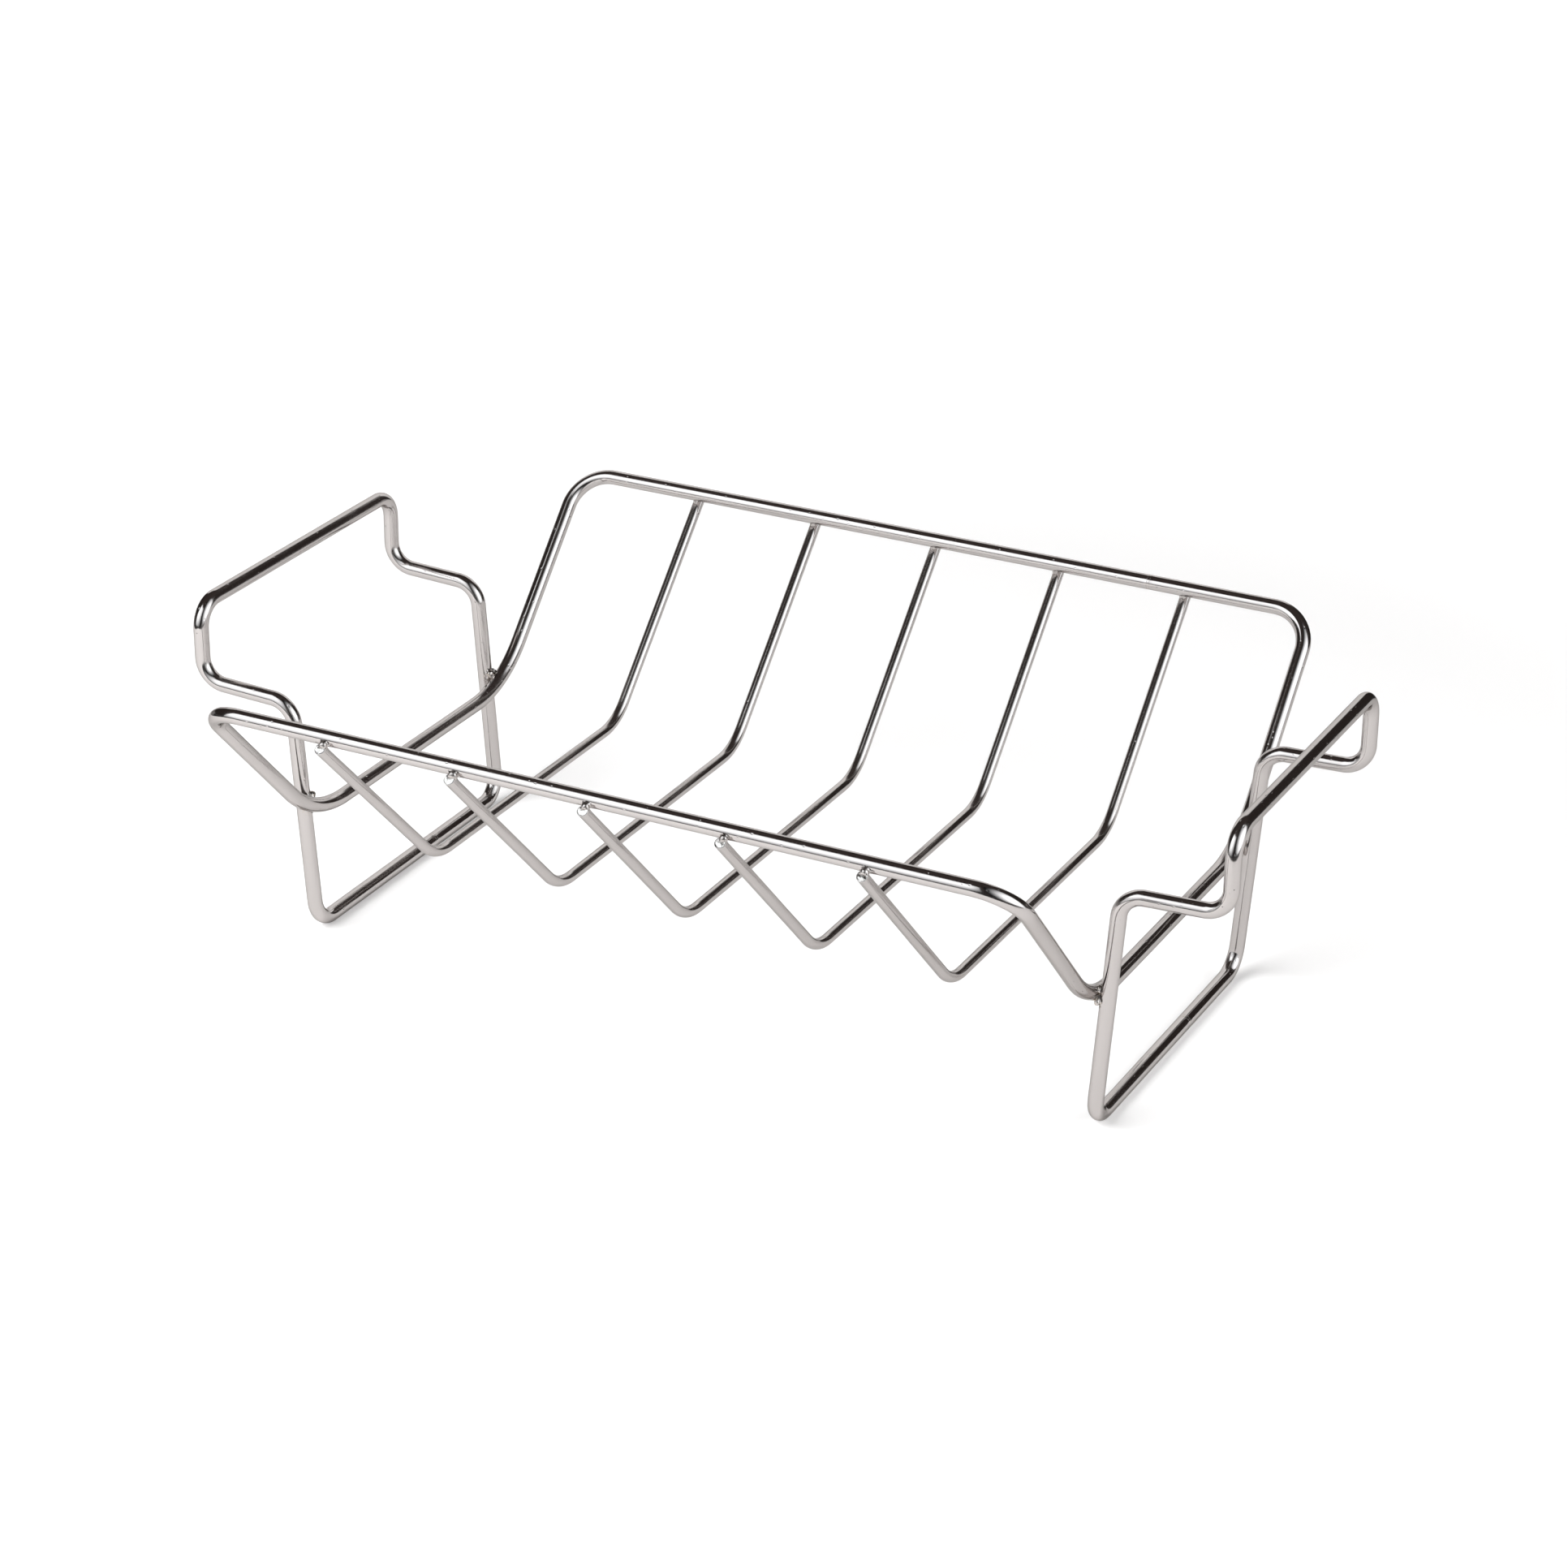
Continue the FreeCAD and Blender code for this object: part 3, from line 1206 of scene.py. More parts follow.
@dataclass
class BasketLoop:
    """The closed loop of wire that makes both rims and both U-shaped end profiles.

    Attributes:
        wire: Diameter of the wire.
        floor_width: Width of the end profiles' flat bottom, between its corners.
        rim_bend: Centre-line radius of the rim's corners.
        floor_bend: Centre-line radius of the end profiles' bottom bends.
        seam_x: Place of the butt weld in the rear rim.
        seam_gap: Length of the butt weld.
    """

    wire: float = 6.0 * MM
    floor_width: float = 142.2 * MM
    rim_bend: float = 16.0 * MM
    floor_bend: float = 50.0 * MM
    seam_x: float = 96.0 * MM
    seam_gap: float = 1.2 * MM

    def __post_init__(self) -> None:
        """Takes the loop's place from its node."""
        low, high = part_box("basket_frame")
        radius = self.wire / 2
        self.half_length = high.x - radius
        self.rim_half_width = high.y - radius
        self.rim_height = high.z - radius
        self.floor_height = low.z + radius

    def corners(self) -> list[Vector]:
        """Ends and corners of the centre line, starting and ending at the seam.

        Returns:
            The places in order.
        """
        rim_start = self.seam_x - self.seam_gap / 2
        made = [Vector((rim_start, self.rim_half_width, self.rim_height))]
        for side, first in ((Side.LEFT, Way.REAR), (Side.RIGHT, Way.FRONT)):
            x = side * self.half_length
            for way in (first, -first):
                rim = Vector((x, way * self.rim_half_width, self.rim_height))
                floor = Vector((x, way * self.floor_width / 2, self.floor_height))
                made += [rim, floor] if way == first else [floor, rim]
        made.append(made[0] + X_AXIS * self.seam_gap)
        return made

    def bend_centre(self, side: Side, way: Way) -> Vector:
        """Centre of an end profile's bottom bend."""
        rise = self.rim_height - self.floor_height
        turn = math.atan2(rise, self.rim_half_width - self.floor_width / 2)
        reach = self.floor_width / 2 - self.floor_bend * math.tan(turn / 2)
        return Vector((side * self.half_length, way * reach, self.floor_height + self.floor_bend))

    def bend_at(self, y: float) -> tuple[float, float]:
        """Height and slope angle of the bottom bend at a distance from the middle."""
        centre = self.bend_centre(Side.RIGHT, Way.REAR)
        slope = math.asin((y - centre.y) / self.floor_bend)
        return self.floor_height + self.floor_bend * (1 - math.cos(slope)), slope

    def build(self, shop: Workshop, hot_spots: list[Vector]) -> None:
        """Makes the loop and its seam.

        Args:
            shop: The workshop that places the pieces.
            hot_spots: Centres of the welds on the loop.
        """
        bends = [self.rim_bend, self.floor_bend, self.floor_bend, self.rim_bend] * 2
        line = Centreline(self.corners(), bends)
        shape = WireShape(self.wire, line, (BUTTED_END, BUTTED_END), hot_spots, seed=3)
        finishes = [shop.frame_wire, shop.ground]
        shop.place("basket_wire", shape.mesh("basket_wire"), "basket_frame", Slot.FRAME_WIRE, finishes)
        seam_centre = Vector((self.seam_x, self.rim_half_width, self.rim_height))
        seam = butt_seam(seam_centre, X_AXIS, self.seam_gap, self.wire, seed=41)
        node = "basket_frame_seam"
        shop.place("basket_wire_seam", seam, node, Slot.GROUND_SEAM, [shop.ground, shop.ground])


@dataclass
class RibSet:
    """The five U-bent ribs, each welded below both rims.

    Attributes:
        basket: The loop that carries the ribs.
        count: Number of ribs.
        wire: Diameter of the wire.
        floor_width: Width of a rib's flat bottom, between its corners.
        bend: Centre-line radius of the bends.
        overhang: How far a rib goes past its weld.
        root: Gap that weld metal fills between the two wires.
        weld_reach: Half sizes of a weld along the rim, along the rib and square to both.
        lumps: The lump of a front weld and of a rear weld, before it drifts and varies in size.
        drift: Millimetres that a lump may drift along the rim and, by half as much, to the rib.
    """

    basket: BasketLoop
    count: int = 5
    wire: float = 4.4 * MM
    floor_width: float = 141.2 * MM
    bend: float = 24.0 * MM
    overhang: float = 1.8 * MM
    root: float = 0.2 * MM
    weld_reach: tuple[float, float, float] = (3.7 * MM, 3.3 * MM, 2.3 * MM)
    lumps: dict[Way, Nugget] = field(
        default_factory=lambda: {
            Way.FRONT: Nugget(0.5 * MM, 1.45 * MM, 0.35 * MM, 1.6 * MM),
            Way.REAR: Nugget(-0.3 * MM, -2.3 * MM, -0.1 * MM, 0.95 * MM),
        }
    )
    drift: float = 0.3

    def __post_init__(self) -> None:
        """Works out the slope that passes just outside the rim."""
        low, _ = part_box("rib_1")
        self.floor_height = low.z + self.wire / 2
        run = self.basket.rim_half_width - self.floor_width / 2
        rise = self.basket.rim_height - self.floor_height
        self.apart = (self.basket.wire + self.wire) / 2 + self.root
        to_rim = math.hypot(run, rise)
        self.slope = math.atan2(rise, run) - math.asin(self.apart / to_rim)
        self.weld_run = math.sqrt(to_rim**2 - self.apart**2)

    def x_of(self, number: int) -> float:
        """Place of a rib along the rack."""
        low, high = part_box(f"rib_{number}")
        return (low.x + high.x) / 2

    def direction(self, way: Way) -> Vector:
        """Unit vector up along a slope."""
        return Vector((0.0, way * math.cos(self.slope), math.sin(self.slope)))

    def outward(self, way: Way) -> Vector:
        """Unit vector from the rim to the rib."""
        return Vector((0.0, way * math.sin(self.slope), -math.cos(self.slope)))

    def rim_at(self, number: int, way: Way) -> Vector:
        """The rim's centre line above a rib."""
        return Vector((self.x_of(number), way * self.basket.rim_half_width, self.basket.rim_height))

    def weld_centre(self, number: int, way: Way) -> Vector:
        """Middle of a weld."""
        return self.rim_at(number, way) + self.outward(way) * (self.basket.wire / 2 + self.root / 2)

    def weld_centres(self) -> list[Vector]:
        """Middles of all the ribs' welds."""
        return [self.weld_centre(number, way) for number in range(1, self.count + 1) for way in Way]

    def build(self, shop: Workshop) -> None:
        """Makes the ribs and their welds.

        Args:
            shop: The workshop that places the pieces.
        """
        for number in range(1, self.count + 1):
            self._build_rib(shop, number)
            for way in Way:
                self._build_weld(shop, number, way)

    def _build_rib(self, shop: Workshop, number: int) -> None:
        """Makes one rib, from its front end to its rear end.

        Args:
            shop: The workshop that places the pieces.
            number: The rib's number.
        """
        x = self.x_of(number)
        corners = [Vector((x, way * self.floor_width / 2, self.floor_height)) for way in Way]
        slope = self.weld_run + self.overhang
        ends = [corner + self.direction(way) * slope for corner, way in zip(corners, Way)]
        line = Centreline([ends[0], *corners, ends[1]], [self.bend, self.bend])
        shapes = (sheared_end(number), sheared_end(number + 20))
        welds = [self.weld_centre(number, way) for way in Way]
        shape = WireShape(self.wire, line, shapes, welds, seed=number + 10, sides=40, wavelength=6 * MM)
        name = f"rib_{number}_wire"
        shop.place(name, shape.mesh(name), f"rib_{number}", Slot.RIB_WIRE, [shop.rib_wire, shop.cut_face])

    def _build_weld(self, shop: Workshop, number: int, way: Way) -> None:
        """Makes the weld of one end of a rib.

        Args:
            shop: The workshop that places the pieces.
            number: The rib's number.
            way: The long side of the rack that the weld is at.
        """
        outward, direction = self.outward(way), self.direction(way)
        rim = self.rim_at(number, way)
        wires = (
            rod(rim, X_AXIS, self.basket.wire / 2 - WELD_SKIN),
            rod(rim + outward * self.apart, direction, self.wire / 2 - WELD_SKIN, reach=self.overhang),
        )
        random = np.random.default_rng(number * 7 + int(way))
        aside, out = random.uniform(-self.drift, self.drift, 2) * MM
        size = random.uniform(0.9, 1.2)
        plain = self.lumps[way]
        lump = Nugget(plain.first + aside, plain.second, plain.out + out / 2, plain.radius * size)
        shape = WeldShape(
            self.weld_centre(number, way),
            (X_AXIS, direction, outward),
            wires,
            self.weld_reach,
            [lump],
            blend=random.uniform(0.8, 1.1) * MM,
            lumps=Unevenness(0.07 * MM, 1.6 * MM, number * 5 + int(way)),
        )
        name = f"rib_{number}_{way.name.lower()}_weld_metal"
        node = f"rib_{number}_{way.name.lower()}_weld"
        shop.place(name, shape.mesh(name), node, Slot.WELD_BEAD, [shop.rib_weld])


@dataclass
class EndFrame:
    """One closed loop of wire: floor bar, two leaning legs, two outward runs and a handle.

    Attributes:
        side: The end of the rack that it stands at.
        basket: The loop that it carries.
        wire: Diameter of the wire.
        leg_spacing: Distance between the two legs.
        lean: Lean of the legs, outward as they rise.
        shoulder_height: Height where the legs turn outward.
        elbow_height: Height where the outward runs turn up.
        bend: Centre-line radius of the bends.
        seam_y: Place of the butt weld in the floor bar.
        seam_gap: Length of the butt weld.
        root: Gap that weld metal fills between leg and basket.
        weld_reach: Half sizes of a weld along the basket, along the leg and square to both.
        nuggets: The lumps of the front weld and of the rear weld.
    """

    side: Side
    basket: BasketLoop
    wire: float = 6.0 * MM
    leg_spacing: float = 137.0 * MM
    lean: float = math.radians(4.26)
    shoulder_height: float = 97.1 * MM
    elbow_height: float = 98.7 * MM
    bend: float = 10.0 * MM
    seam_y: float = 17.0 * MM
    seam_gap: float = 1.2 * MM
    root: float = 0.2 * MM
    weld_reach: tuple[float, float, float] = (4.3 * MM, 5.9 * MM, 2.7 * MM)
    nuggets: dict[Way, tuple[Nugget, ...]] = field(default_factory=dict)

    def __post_init__(self) -> None:
        """Takes the frame's height and reach from its node."""
        low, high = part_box(f"{self.label}_end_frame")
        radius = self.wire / 2
        self.floor_height = low.z + radius
        self.handle_height = high.z - radius
        self.handle_x = max(abs(low.x), abs(high.x)) - radius
        self.leg_y = self.leg_spacing / 2
        self.crossing_height, self.crossing_slope = self.basket.bend_at(self.leg_y)

    @property
    def label(self) -> str:
        """The side's name in lower case."""
        return self.side.name.lower()

    def leg_x(self, height: float) -> float:
        """Distance of the legs from the middle of the rack at a height."""
        crossing_x = self.basket.half_length + self.wire + self.root
        return crossing_x + (height - self.crossing_height) * math.tan(self.lean)

    def weld_centre(self, way: Way) -> Vector:
        """Middle of a weld."""
        x = self.basket.half_length + (self.wire + self.root) / 2
        return Vector((self.side * x, way * self.leg_y, self.crossing_height))

    def build(self, shop: Workshop) -> None:
        """Makes the frame, its seam and its two welds.

        Args:
            shop: The workshop that places the pieces.
        """
        foot_x = self.leg_x(self.floor_height)
        profile = [
            (foot_x, self.floor_height),
            (self.leg_x(self.shoulder_height), self.shoulder_height),
            (self.handle_x, self.elbow_height),
            (self.handle_x, self.handle_height),
        ]
        rear = [Vector((self.side * x, self.leg_y, z)) for x, z in profile]
        front = [Vector((self.side * x, -self.leg_y, z)) for x, z in reversed(profile)]
        seam = Vector((self.side * foot_x, self.seam_y, self.floor_height))
        gap = Y_AXIS * self.seam_gap / 2
        corners = [seam + gap, *rear, *front, seam - gap]
        line = Centreline(corners, [self.bend] * (len(corners) - 2))
        welds = [self.weld_centre(way) for way in Way]
        seed = 30 + int(self.side)
        shape = WireShape(self.wire, line, (BUTTED_END, BUTTED_END), welds, seed)
        name = f"{self.label}_end_wire"
        finishes = [shop.frame_wire, shop.ground]
        shop.place(name, shape.mesh(name), f"{self.label}_end_frame", Slot.FRAME_WIRE, finishes)
        seam_mesh = butt_seam(seam, Y_AXIS, self.seam_gap, self.wire, seed + 20)
        node = f"{self.label}_end_frame_seam"
        finishes = [shop.ground, shop.ground]
        shop.place(f"{self.label}_end_wire_seam", seam_mesh, node, Slot.GROUND_SEAM, finishes)
        for way in Way:
            self._build_weld(shop, way)

    def _build_weld(self, shop: Workshop, way: Way) -> None:
        """Makes the weld between a leg and the basket's bottom bend.

        Args:
            shop: The workshop that places the pieces.
            way: The long side of the rack that the weld is at.
        """
        slope = self.crossing_slope
        profile = Vector((0.0, way * math.cos(slope), math.sin(slope)))
        leg = Vector((self.side * math.sin(self.lean), 0.0, math.cos(self.lean)))
        out = X_AXIS * self.side
        crossing_x = self.side * self.leg_x(self.crossing_height)
        crossing = Vector((crossing_x, way * self.leg_y, self.crossing_height))
        bend_centre = self.basket.bend_centre(self.side, way)
        wires = (
            bent_rod(bend_centre, self.basket.floor_bend, self.basket.wire / 2 - WELD_SKIN),
            rod(crossing, leg, self.wire / 2 - WELD_SKIN),
        )
        shape = WeldShape(
            self.weld_centre(way),
            (profile, leg, out),
            wires,
            self.weld_reach,
            self.nuggets[way],
            blend=0.7 * MM,
            lumps=Unevenness(0.09 * MM, 1.8 * MM, int(self.side) * 3 + int(way) + 9),
            fineness=5,
        )
        name = f"{self.label}_{way.name.lower()}_leg_weld_metal"
        node = f"{self.label}_{way.name.lower()}_leg_weld"
        shop.place(name, shape.mesh(name), node, Slot.WELD_BEAD, [shop.leg_weld])


LEFT_NUGGETS = {
    Way.FRONT: (
        Nugget(-2.3 * MM, 3.5 * MM, 0.2 * MM, 1.5 * MM),
        Nugget(-2.2 * MM, -3.6 * MM, 0.3 * MM, 1.25 * MM),
    ),
    Way.REAR: (
        Nugget(-1.3 * MM, 3.6 * MM, -0.2 * MM, 1.6 * MM),
        Nugget(2.0 * MM, 3.0 * MM, 0.0, 1.2 * MM),
    ),
}
RIGHT_NUGGETS = {
    Way.FRONT: (
        Nugget(3.4 * MM, 2.8 * MM, 0.1 * MM, 1.4 * MM),
        Nugget(2.6 * MM, -3.2 * MM, 0.1 * MM, 1.25 * MM),
    ),
    Way.REAR: (
        Nugget(-2.6 * MM, 3.2 * MM, 0.0, 1.3 * MM),
        Nugget(-2.4 * MM, -3.3 * MM, 0.0, 1.2 * MM),
    ),
}


# Studio


def direction_to(azimuth: float, elevation: float) -> Vector:
    """Unit vector by compass and height: azimuth 0 is towards the front and 90 to the right.

    Args:
        azimuth: Angle round the rack, in degrees.
        elevation: Angle above the horizon, in degrees.

    Returns:
        The direction.
    """
    turn, rise = math.radians(azimuth), math.radians(elevation)
    return Vector((math.sin(turn) * math.cos(rise), -math.cos(turn) * math.cos(rise), math.sin(rise)))


def seen_rays(tree: bpy.types.NodeTree) -> tuple[bpy.types.NodeSocket, bpy.types.NodeSocket]:
    """Masks of the rays that show a background.

    Args:
        tree: The node tree.

    Returns:
        A mask of the camera's rays, and one of camera, glossy and transmission rays together.
    """
    path = add_node(tree, "ShaderNodeLightPath").outputs
    seen = maths(tree, "MAXIMUM", path["Is Camera Ray"], path["Is Glossy Ray"])
    return path["Is Camera Ray"], maths(tree, "MAXIMUM", seen, path["Is Transmission Ray"])


def stage_mesh(
    name: str, points: Sequence[Vector], faces: Sequence[Sequence[int]], material: bpy.types.Material
) -> bpy.types.Object:
    """Adds a stage object that the camera itself doesn't see, but the steel and the floor do.

    Args:
        name: Name of the object.
        points: Its vertices.
        faces: Its faces.
        material: Its material.

    Returns:
        The object.
    """
    mesh = bpy.data.meshes.new(name)
    mesh.from_pydata([tuple(point) for point in points], [], faces)
    mesh.materials.append(material)
    made = bpy.data.objects.new(name, mesh)
    bpy.context.scene.collection.objects.link(made)
    made.visible_camera = False
    made.visible_shadow = False
    return made


def glow(
    name: str, strength: float, colour: Colour = (1.0, 1.0, 1.0)
) -> tuple[bpy.types.Material, bpy.types.Node]:
    """A plain glow for the walls and lights of the studio.

    Args:
        name: The material's name.
        strength: Its brightness, where 1 is white.
        colour: Its colour.

    Returns:
        The material and its emission node.
    """
    made = bpy.data.materials.new(name)
    made.use_nodes = True
    tree = made.node_tree
    tree.nodes.clear()
    emission = add_node(tree, "ShaderNodeEmission", {"Color": (*colour, 1.0), "Strength": strength})
    add_node(tree, "ShaderNodeOutputMaterial", {"Surface": emission.outputs[0]})
    return made, emission


@dataclass(frozen=True)
class Softbox:
    """A large soft light: the light that falls on the floor, and its face as the steel shows it.

    Attributes:
        name: Name of the light.
        azimuth: Direction of its middle, in degrees.
        elevation: Height of its middle, in degrees.
        distance: Distance from the rack.
        wide: Width, as the angle seen from the rack.
        tall: Height, as the angle seen from the rack.
        thrown: Radiance of the light that falls on the floor, where 1 is white.
        edges: Azimuths of the left and right edge of its face, in degrees.
        rise: Elevations of the lower and upper edge of its face, in degrees.
        near: Distance of its face.
        peak: Brightness of the middle of its face.
        fade: Angle from the middle at which the face has faded away, in degrees.
        patches: Number of patches of the face across and up.
    """

    name: str
    azimuth: float
    elevation: float
    distance: float
    wide: float
    tall: float
    thrown: float
    edges: tuple[float, float]
    rise: tuple[float, float]
    near: float
    peak: float
    fade: float
    patches: tuple[int, int] = (24, 16)

    def build(self, aim: Vector) -> None:
        """Adds the light and its face.

        Args:
            aim: The point that the light shines at.
        """
        out = direction_to(self.azimuth, self.elevation)
        width = 2 * self.distance * math.tan(math.radians(self.wide / 2))
        height = 2 * self.distance * math.tan(math.radians(self.tall / 2))
        light = add_area_light(self.name, aim + out * self.distance, out, width, height, self.thrown)
        light.visible_glossy = False
        columns, rows = self.patches
        points = []
        for row in range(rows + 1):
            elevation = self.rise[0] + (self.rise[1] - self.rise[0]) * row / rows
            for column in range(columns + 1):
                azimuth = self.edges[0] + (self.edges[1] - self.edges[0]) * column / columns
                points.append(aim + direction_to(azimuth, elevation) * self.near)
        step = columns + 1
        corners = [row * step + column for row in range(rows) for column in range(columns)]
        faces = [(corner, corner + 1, corner + 1 + step, corner + step) for corner in corners]
        made = stage_mesh(f"{self.name}_face", points, faces, self._face_material(aim, out))
        made.visible_diffuse = False

    def _face_material(self, aim: Vector, out: Vector) -> bpy.types.Material:
        """A glow that fades away from the middle of the face.

        Args:
            aim: The point that the light shines at.
            out: Unit vector from there to the middle of the face.

        Returns:
            The material.
        """
        material, emission = glow(f"{self.name}_cloth", self.peak, CLOTH_COLOUR)
        tree = material.node_tree
        place = add_node(tree, "ShaderNodeTexCoord").outputs["Object"]
        away = add_node(tree, "ShaderNodeVectorMath", {0: place, 1: aim}, operation="SUBTRACT").outputs[0]
        toward = add_node(tree, "ShaderNodeVectorMath", {0: away}, operation="NORMALIZE").outputs[0]
        alike = add_node(tree, "ShaderNodeVectorMath", {0: toward, 1: out}, operation="DOT_PRODUCT")
        angle = maths(tree, "ARCCOSINE", alike.outputs["Value"])
        fading = ramp(tree, angle, 0.0, math.radians(self.fade), self.peak, 0.0)
        tree.links.new(fading, emission.inputs["Strength"])
        return material


def add_area_light(
    name: str, centre: Vector, out: Vector, width: float, height: float, brightness: float
) -> bpy.types.Object:
    """Adds a rectangular light that faces back along a direction.

    Args:
        name: Name of the light.
        centre: Its middle.
        out: Unit vector from the rack to the light.
        width: Its width.
        height: Its height.
        brightness: Its radiance, where 1 is white.

    Returns:
        The light's object.
    """
    light = bpy.data.lights.new(name, "AREA")
    light.shape = "RECTANGLE"
    light.size = width
    light.size_y = height
    light.energy = brightness * width * height * AREA_LIGHT_WATTS
    made = bpy.data.objects.new(name, light)
    made.location = centre
    made.rotation_mode = "QUATERNION"
    made.rotation_quaternion = (-out).to_track_quat("-Z", "Y")
    made.visible_camera = False
    bpy.context.scene.collection.objects.link(made)
    return made


@dataclass
class Studio:
    """A plain studio: white floor, two softboxes, a pale backdrop and dark walls.

    Attributes:
        floor_radius: Radius of the floor.
        floor_colour: Colour of the floor.
        floor_lift: Brightness that the camera sees beside the floor's own shade near the rack.
        paper_lift: The same in the steel's reflections.
        softboxes: The two lights.
        overhead: Brightness of the broad light above, which only the floor shows.
        walls: Brightness of the dark walls.
        ceiling: Brightness of the ceiling.
        wall_radius: Distance of the walls.
        ceiling_rise: Heights between which the walls turn into the ceiling, as shares of wall_radius.
        fill_place: Place of the broad light above.
        fill_size: Width of the broad light above.
        shade_reach: Distances between which the floor's own shade gives way to plain white.
        floor_sides: Number of sides of the round floor.
    """

    floor_radius: float = 5.0
    floor_colour: float = 0.8
    floor_lift: float = 0.24
    paper_lift: float = 0.03
    softboxes: tuple[Softbox, ...] = (
        Softbox(
            "left_softbox",
            azimuth=-37.0,
            elevation=34.0,
            distance=2.2,
            wide=46.0,
            tall=51.0,
            thrown=4.9,
            edges=(-55.0, 8.0),
            rise=(-6.0, 55.0),
            near=1.7,
            peak=2.25,
            fade=56.0,
        ),
        Softbox(
            "right_softbox",
            azimuth=85.0,
            elevation=20.0,
            distance=2.2,
            wide=60.0,
            tall=50.0,
            thrown=3.2,
            edges=(22.0, 114.0),
            rise=(-6.0, 76.0),
            near=2.3,
            peak=2.6,
            fade=58.0,
        ),
    )
    overhead: float = 4.1
    walls: float = 0.03
    ceiling: float = 0.045
    wall_radius: float = 4.5
    ceiling_rise: tuple[float, float] = (0.45, 0.85)
    fill_place: tuple[float, float, float] = (-0.5, -1.0, 1.5)
    fill_size: float = 1.2
    shade_reach: tuple[float, float] = (0.4, 0.95)
    floor_sides: int = 64

    def build(self) -> None:
        """Makes the whole studio."""
        low, high = CAD_BOX
        aim = Vector((0.0, 0.0, (low.z + high.z) / 2))
        self._build_world()
        self._build_floor()
        self._build_walls()
        PaperSweep().build()
        for softbox in self.softboxes:
            softbox.build(aim)
        place, size = Vector(self.fill_place), self.fill_size
        fill = add_area_light("overhead_fill", place, Z_AXIS, size, size, self.overhead)
        fill.visible_glossy = False

    @staticmethod
    def _build_world() -> None:
        """White wherever a ray of the camera or a reflection gets past the floor and the walls."""
        world = bpy.data.worlds.new("studio_world")
        bpy.context.scene.world = world
        world.use_nodes = True
        tree = world.node_tree
        tree.nodes.clear()
        _, seen = seen_rays(tree)
        strength = ramp(tree, seen, 0.0, 1.0, 0.2, 1.0)
        background = add_node(tree, "ShaderNodeBackground", {"Color": WHITE, "Strength": strength})
        add_node(tree, "ShaderNodeOutputWorld", {"Surface": background.outputs[0]})

    def _build_floor(self) -> None:
        """A round white floor that keeps the rack's shadow and can be looked through from below."""
        turns = [2 * math.pi / self.floor_sides * number for number in range(self.floor_sides)]
        points = [Vector((math.cos(turn), math.sin(turn), 0.0)) * self.floor_radius for turn in turns]
        made = stage_mesh("floor", points, [tuple(range(self.floor_sides))], self._floor_material())
        made.visible_camera = True
        made.visible_shadow = True

    def _floor_material(self) -> bpy.types.Material:
        """White paper: shaded near the rack, and plain white towards the horizon.

        Returns:
            The material.
        """
        made = bpy.data.materials.new("floor_paper")
        made.use_nodes = True
        tree = made.node_tree
        tree.nodes.clear()
        camera, seen = seen_rays(tree)
        place = add_node(tree, "ShaderNodeTexCoord").outputs["Object"]
        away = add_node(tree, "ShaderNodeVectorMath", {0: place}, operation="LENGTH").outputs["Value"]
        lift = ramp(tree, away, *self.shade_reach, self.floor_lift, 1.0)
        camera_lift = maths(tree, "MULTIPLY", camera, lift)
        plain_lift = maths(tree, "MULTIPLY", seen, self.paper_lift)
        strength = maths(tree, "MAXIMUM", camera_lift, plain_lift)
        light = add_node(tree, "ShaderNodeEmission", {"Color": WHITE, "Strength": strength})
        paper = add_node(tree, "ShaderNodeBsdfDiffuse", {"Color": (*[self.floor_colour] * 3, 1.0)})
        both = add_node(tree, "ShaderNodeAddShader", {0: paper.outputs[0], 1: light.outputs[0]})
        clear = add_node(tree, "ShaderNodeBsdfTransparent")
        below = add_node(tree, "ShaderNodeNewGeometry").outputs["Backfacing"]
        mixed = add_node(tree, "ShaderNodeMixShader", {0: below, 1: both.outputs[0], 2: clear.outputs[0]})
        add_node(tree, "ShaderNodeOutputMaterial", {"Surface": mixed.outputs[0]})
        return made

    def _build_walls(self) -> None:
        """The dark walls and ceiling of the room, which only the steel shows."""
        shell = bmesh.new()
        bmesh.ops.create_icosphere(shell, subdivisions=3, radius=self.wall_radius)
        below = [face for face in shell.faces if face.calc_center_median().z < -0.1]
        bmesh.ops.delete(shell, geom=below, context="FACES")
        points = [vertex.co.copy() for vertex in shell.verts]
        shell.verts.index_update()
        faces = [tuple(vertex.index for vertex in face.verts) for face in shell.faces]
        shell.free()
        material, emission = glow("dark_wall", self.walls, WALL_COLOUR)
        tree = material.node_tree
        place = add_node(tree, "ShaderNodeTexCoord").outputs["Object"]
        height = add_node(tree, "ShaderNodeSeparateXYZ", {0: place}).outputs["Z"]
        low, high = (self.wall_radius * share for share in self.ceiling_rise)
        rise = ramp(tree, height, low, high, self.walls, self.ceiling)
        tree.links.new(rise, emission.inputs["Strength"])
        stage_mesh("studio_walls", points, faces, material)


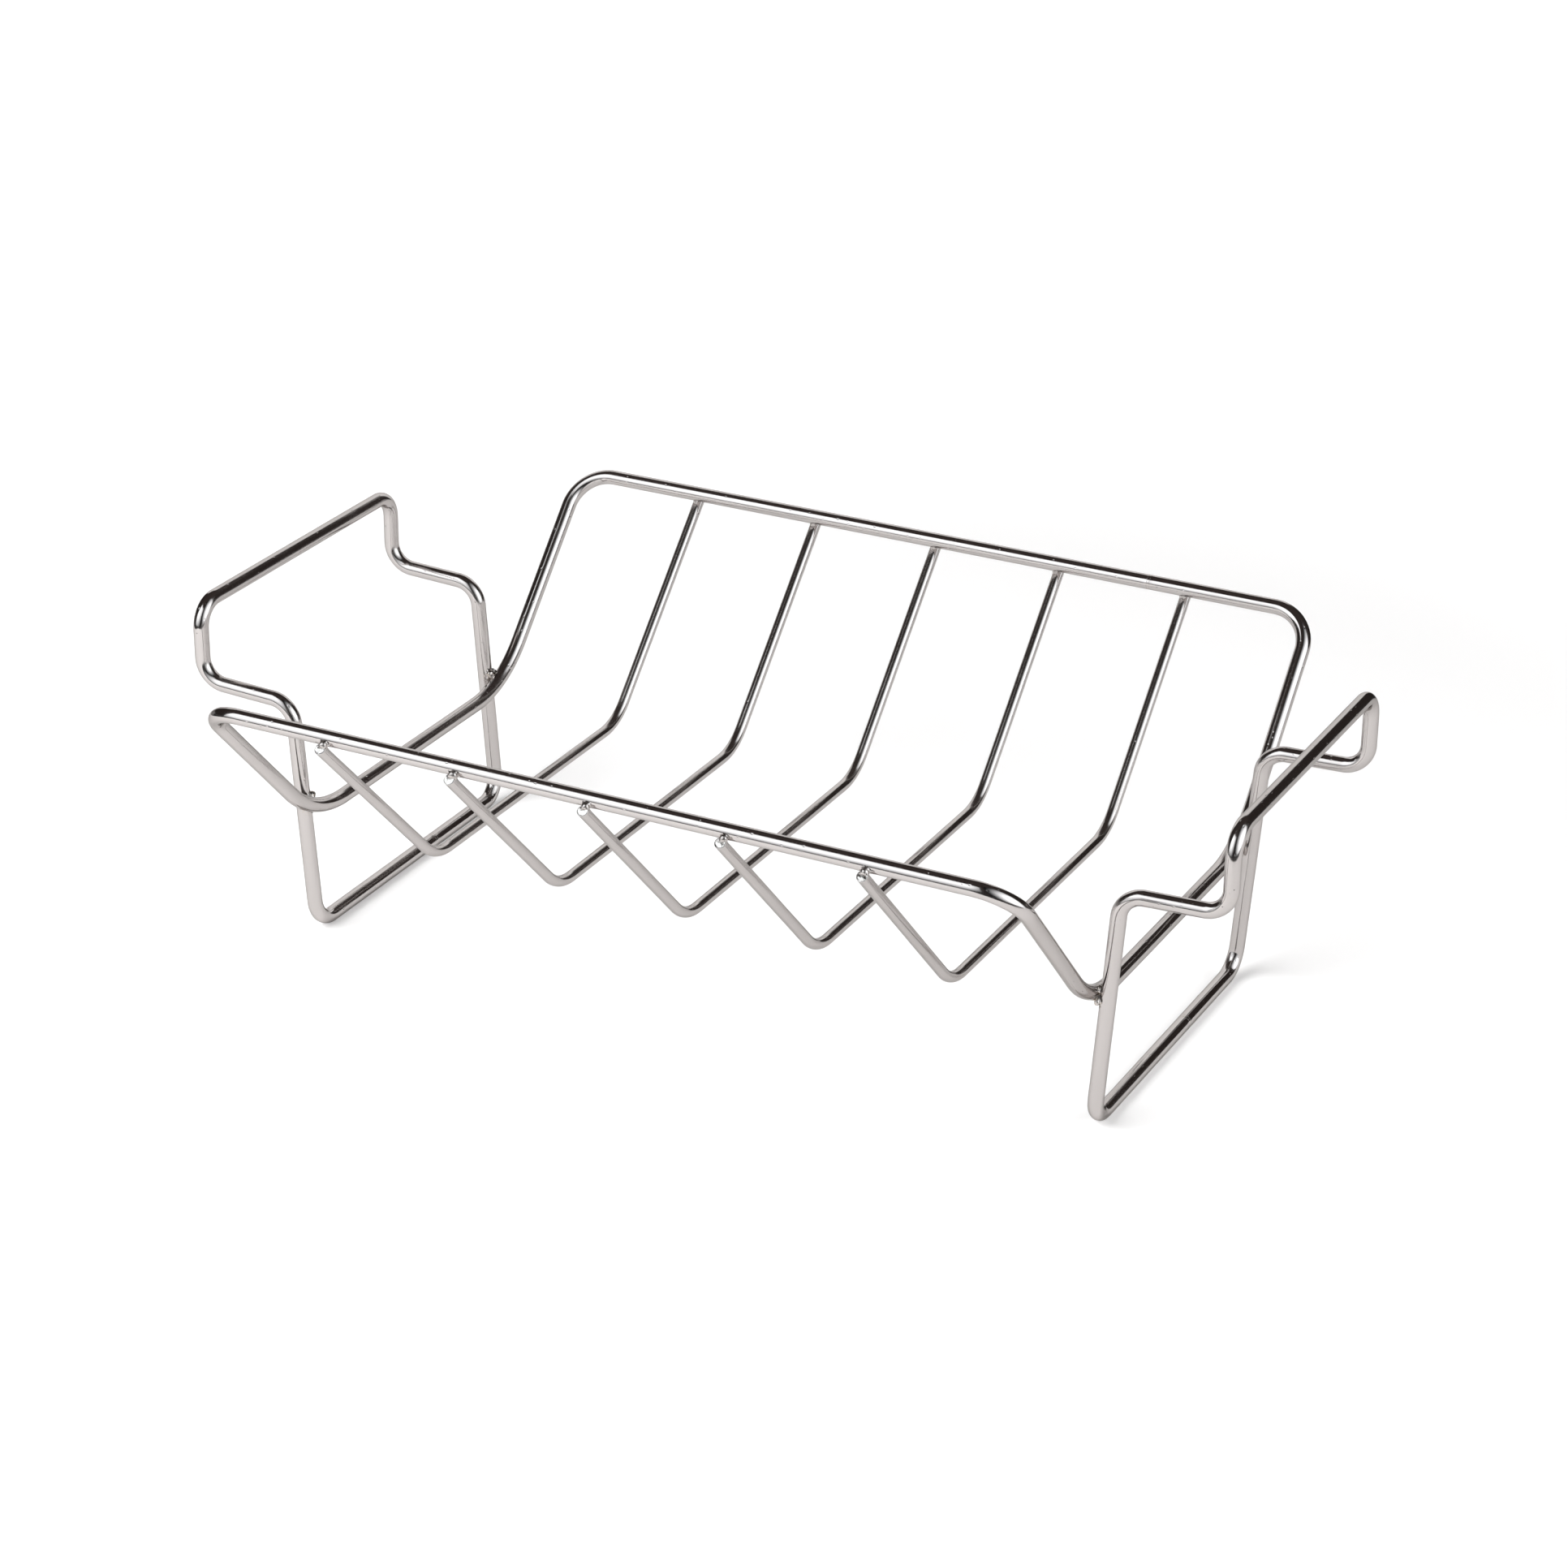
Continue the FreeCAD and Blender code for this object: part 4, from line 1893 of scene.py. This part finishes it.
@dataclass(frozen=True)
class PaperSweep:
    """The white paper that the rack stands on, as the steel shows it: its edges, the dark
    floor beyond them, the paper that rises behind, and its curled left edge.

    Attributes:
        turn: Direction that the paper faces, in degrees.
        left: Distance of its left edge from the middle.
        right: Distance of its right edge at the rear.
        bay: Distance to the rear that the paper reaches farther to the right.
        front: Distance of its front edge.
        rear: Distance where it rises.
        height: Height of its top edge.
        paper: Brightness of the rising paper.
        curl_height: Height of the curled left edge.
        curl: Brightness of the curled left edge.
        beyond: Brightness of the dark floor beyond the paper.
        room: Distance that the dark floor reaches.
        lift: Height of the dark floor above the white one.
    """

    turn: float = 27.31
    left: float = 0.62
    right: float = 0.50
    bay: float = 0.42
    front: float = 0.47
    rear: float = 0.85
    height: float = 0.77
    paper: float = 1.05
    curl_height: float = 0.15
    curl: float = 0.3
    beyond: float = 0.05
    room: float = 4.4
    lift: float = 0.5 * MM

    def spot(self, across: float, forward: float, height: float = 0.0) -> Vector:
        """A point by its distance to the right, to the front and above the floor."""
        ahead = direction_to(self.turn, 0.0)
        return Z_AXIS.cross(ahead) * across + ahead * forward + Z_AXIS * height

    def build(self) -> None:
        """Adds the dark floor, the rising paper and the curl."""
        room = self.room
        patches = (
            (-room, self.front, room, room),
            (-room, -room, -self.left, self.front),
            (self.right, -room, room, -self.bay),
        )
        for number, (left, rear, right, front) in enumerate(patches):
            places = ((left, rear), (right, rear), (right, front), (left, front))
            points = [self.spot(across, forward, self.lift) for across, forward in places]
            self._add(f"dark_floor_{number}", points, [(0, 1, 2, 3)], self.beyond)
        corners = [self.spot(across, -self.rear) for across in (-self.left, self.right)]
        self._add_wall("rising_paper", corners, self.height, self.paper)
        corners = [self.spot(-self.left, forward) for forward in (-self.rear, -self.rear / 4)]
        self._add_wall("paper_curl", corners, self.curl_height, self.curl)

    def _add_wall(self, name: str, corners: list[Vector], height: float, brightness: float) -> None:
        """Adds an upright sheet above a line on the floor.

        Args:
            name: Name of the sheet.
            corners: The two ends of the line.
            height: Height of the sheet.
            brightness: Its brightness.
        """
        points = [*corners, corners[1] + Z_AXIS * height, corners[0] + Z_AXIS * height]
        self._add(name, points, [(0, 1, 2, 3)], brightness)

    @staticmethod
    def _add(name: str, points: list[Vector], faces: list[tuple[int, ...]], brightness: float) -> None:
        """Adds a sheet that only the steel shows."""
        made = stage_mesh(name, points, faces, glow(f"{name}_paper", brightness)[0])
        made.visible_diffuse = False


@dataclass(frozen=True)
class StudioCamera:
    """The camera's place and lens.

    Attributes:
        azimuth: Direction of the camera from the rack, in degrees.
        elevation: Its height, in degrees.
        roll: Its roll, in degrees.
        distance: Its distance from the point that it looks at.
        lens: Focal length, in millimetres.
        sensor: Width of the sensor, in millimetres.
        aim: The point that it looks at, from the middle of the rack's box.
    """

    azimuth: float = 27.31
    elevation: float = 25.12
    roll: float = 0.38
    distance: float = 1.61064
    lens: float = 94.47
    sensor: float = 36.0
    aim: tuple[float, float, float] = (-6.3 * MM, 21.7 * MM, -4.0 * MM)

    def build(self) -> None:
        """Adds the camera."""
        low, high = CAD_BOX
        back = direction_to(self.azimuth, self.elevation)
        right = Vector((math.cos(math.radians(self.azimuth)), math.sin(math.radians(self.azimuth)), 0.0))
        turned = Matrix.Rotation(math.radians(self.roll), 3, back) @ right
        up = back.cross(turned)
        data = bpy.data.cameras.new("studio_camera")
        data.lens = self.lens
        data.sensor_width = self.sensor
        made = bpy.data.objects.new("studio_camera", data)
        place = (low + high) / 2 + Vector(self.aim) + back * self.distance
        axes = Matrix((turned, up, back)).transposed().to_4x4()
        made.matrix_world = Matrix.Translation(place) @ axes
        bpy.context.scene.collection.objects.link(made)
        bpy.context.scene.camera = made


def main() -> None:
    """Builds the rack, the studio and the camera."""
    logging.basicConfig(level=logging.INFO, format="%(name)s: %(message)s")
    bpy.context.scene.view_settings.view_transform = "Standard"
    StudioCamera().build()
    Studio().build()
    shop = Workshop()
    basket = BasketLoop()
    ribs = RibSet(basket)
    ends = [
        EndFrame(Side.LEFT, basket, nuggets=LEFT_NUGGETS),
        EndFrame(Side.RIGHT, basket, nuggets=RIGHT_NUGGETS),
    ]
    leg_welds = [end.weld_centre(way) for end in ends for way in Way]
    basket.build(shop, ribs.weld_centres() + leg_welds)
    ribs.build(shop)
    for end in ends:
        end.build(shop)
    LOG.info("%d pieces", shop.made)


if __name__ == "__main__":
    main()
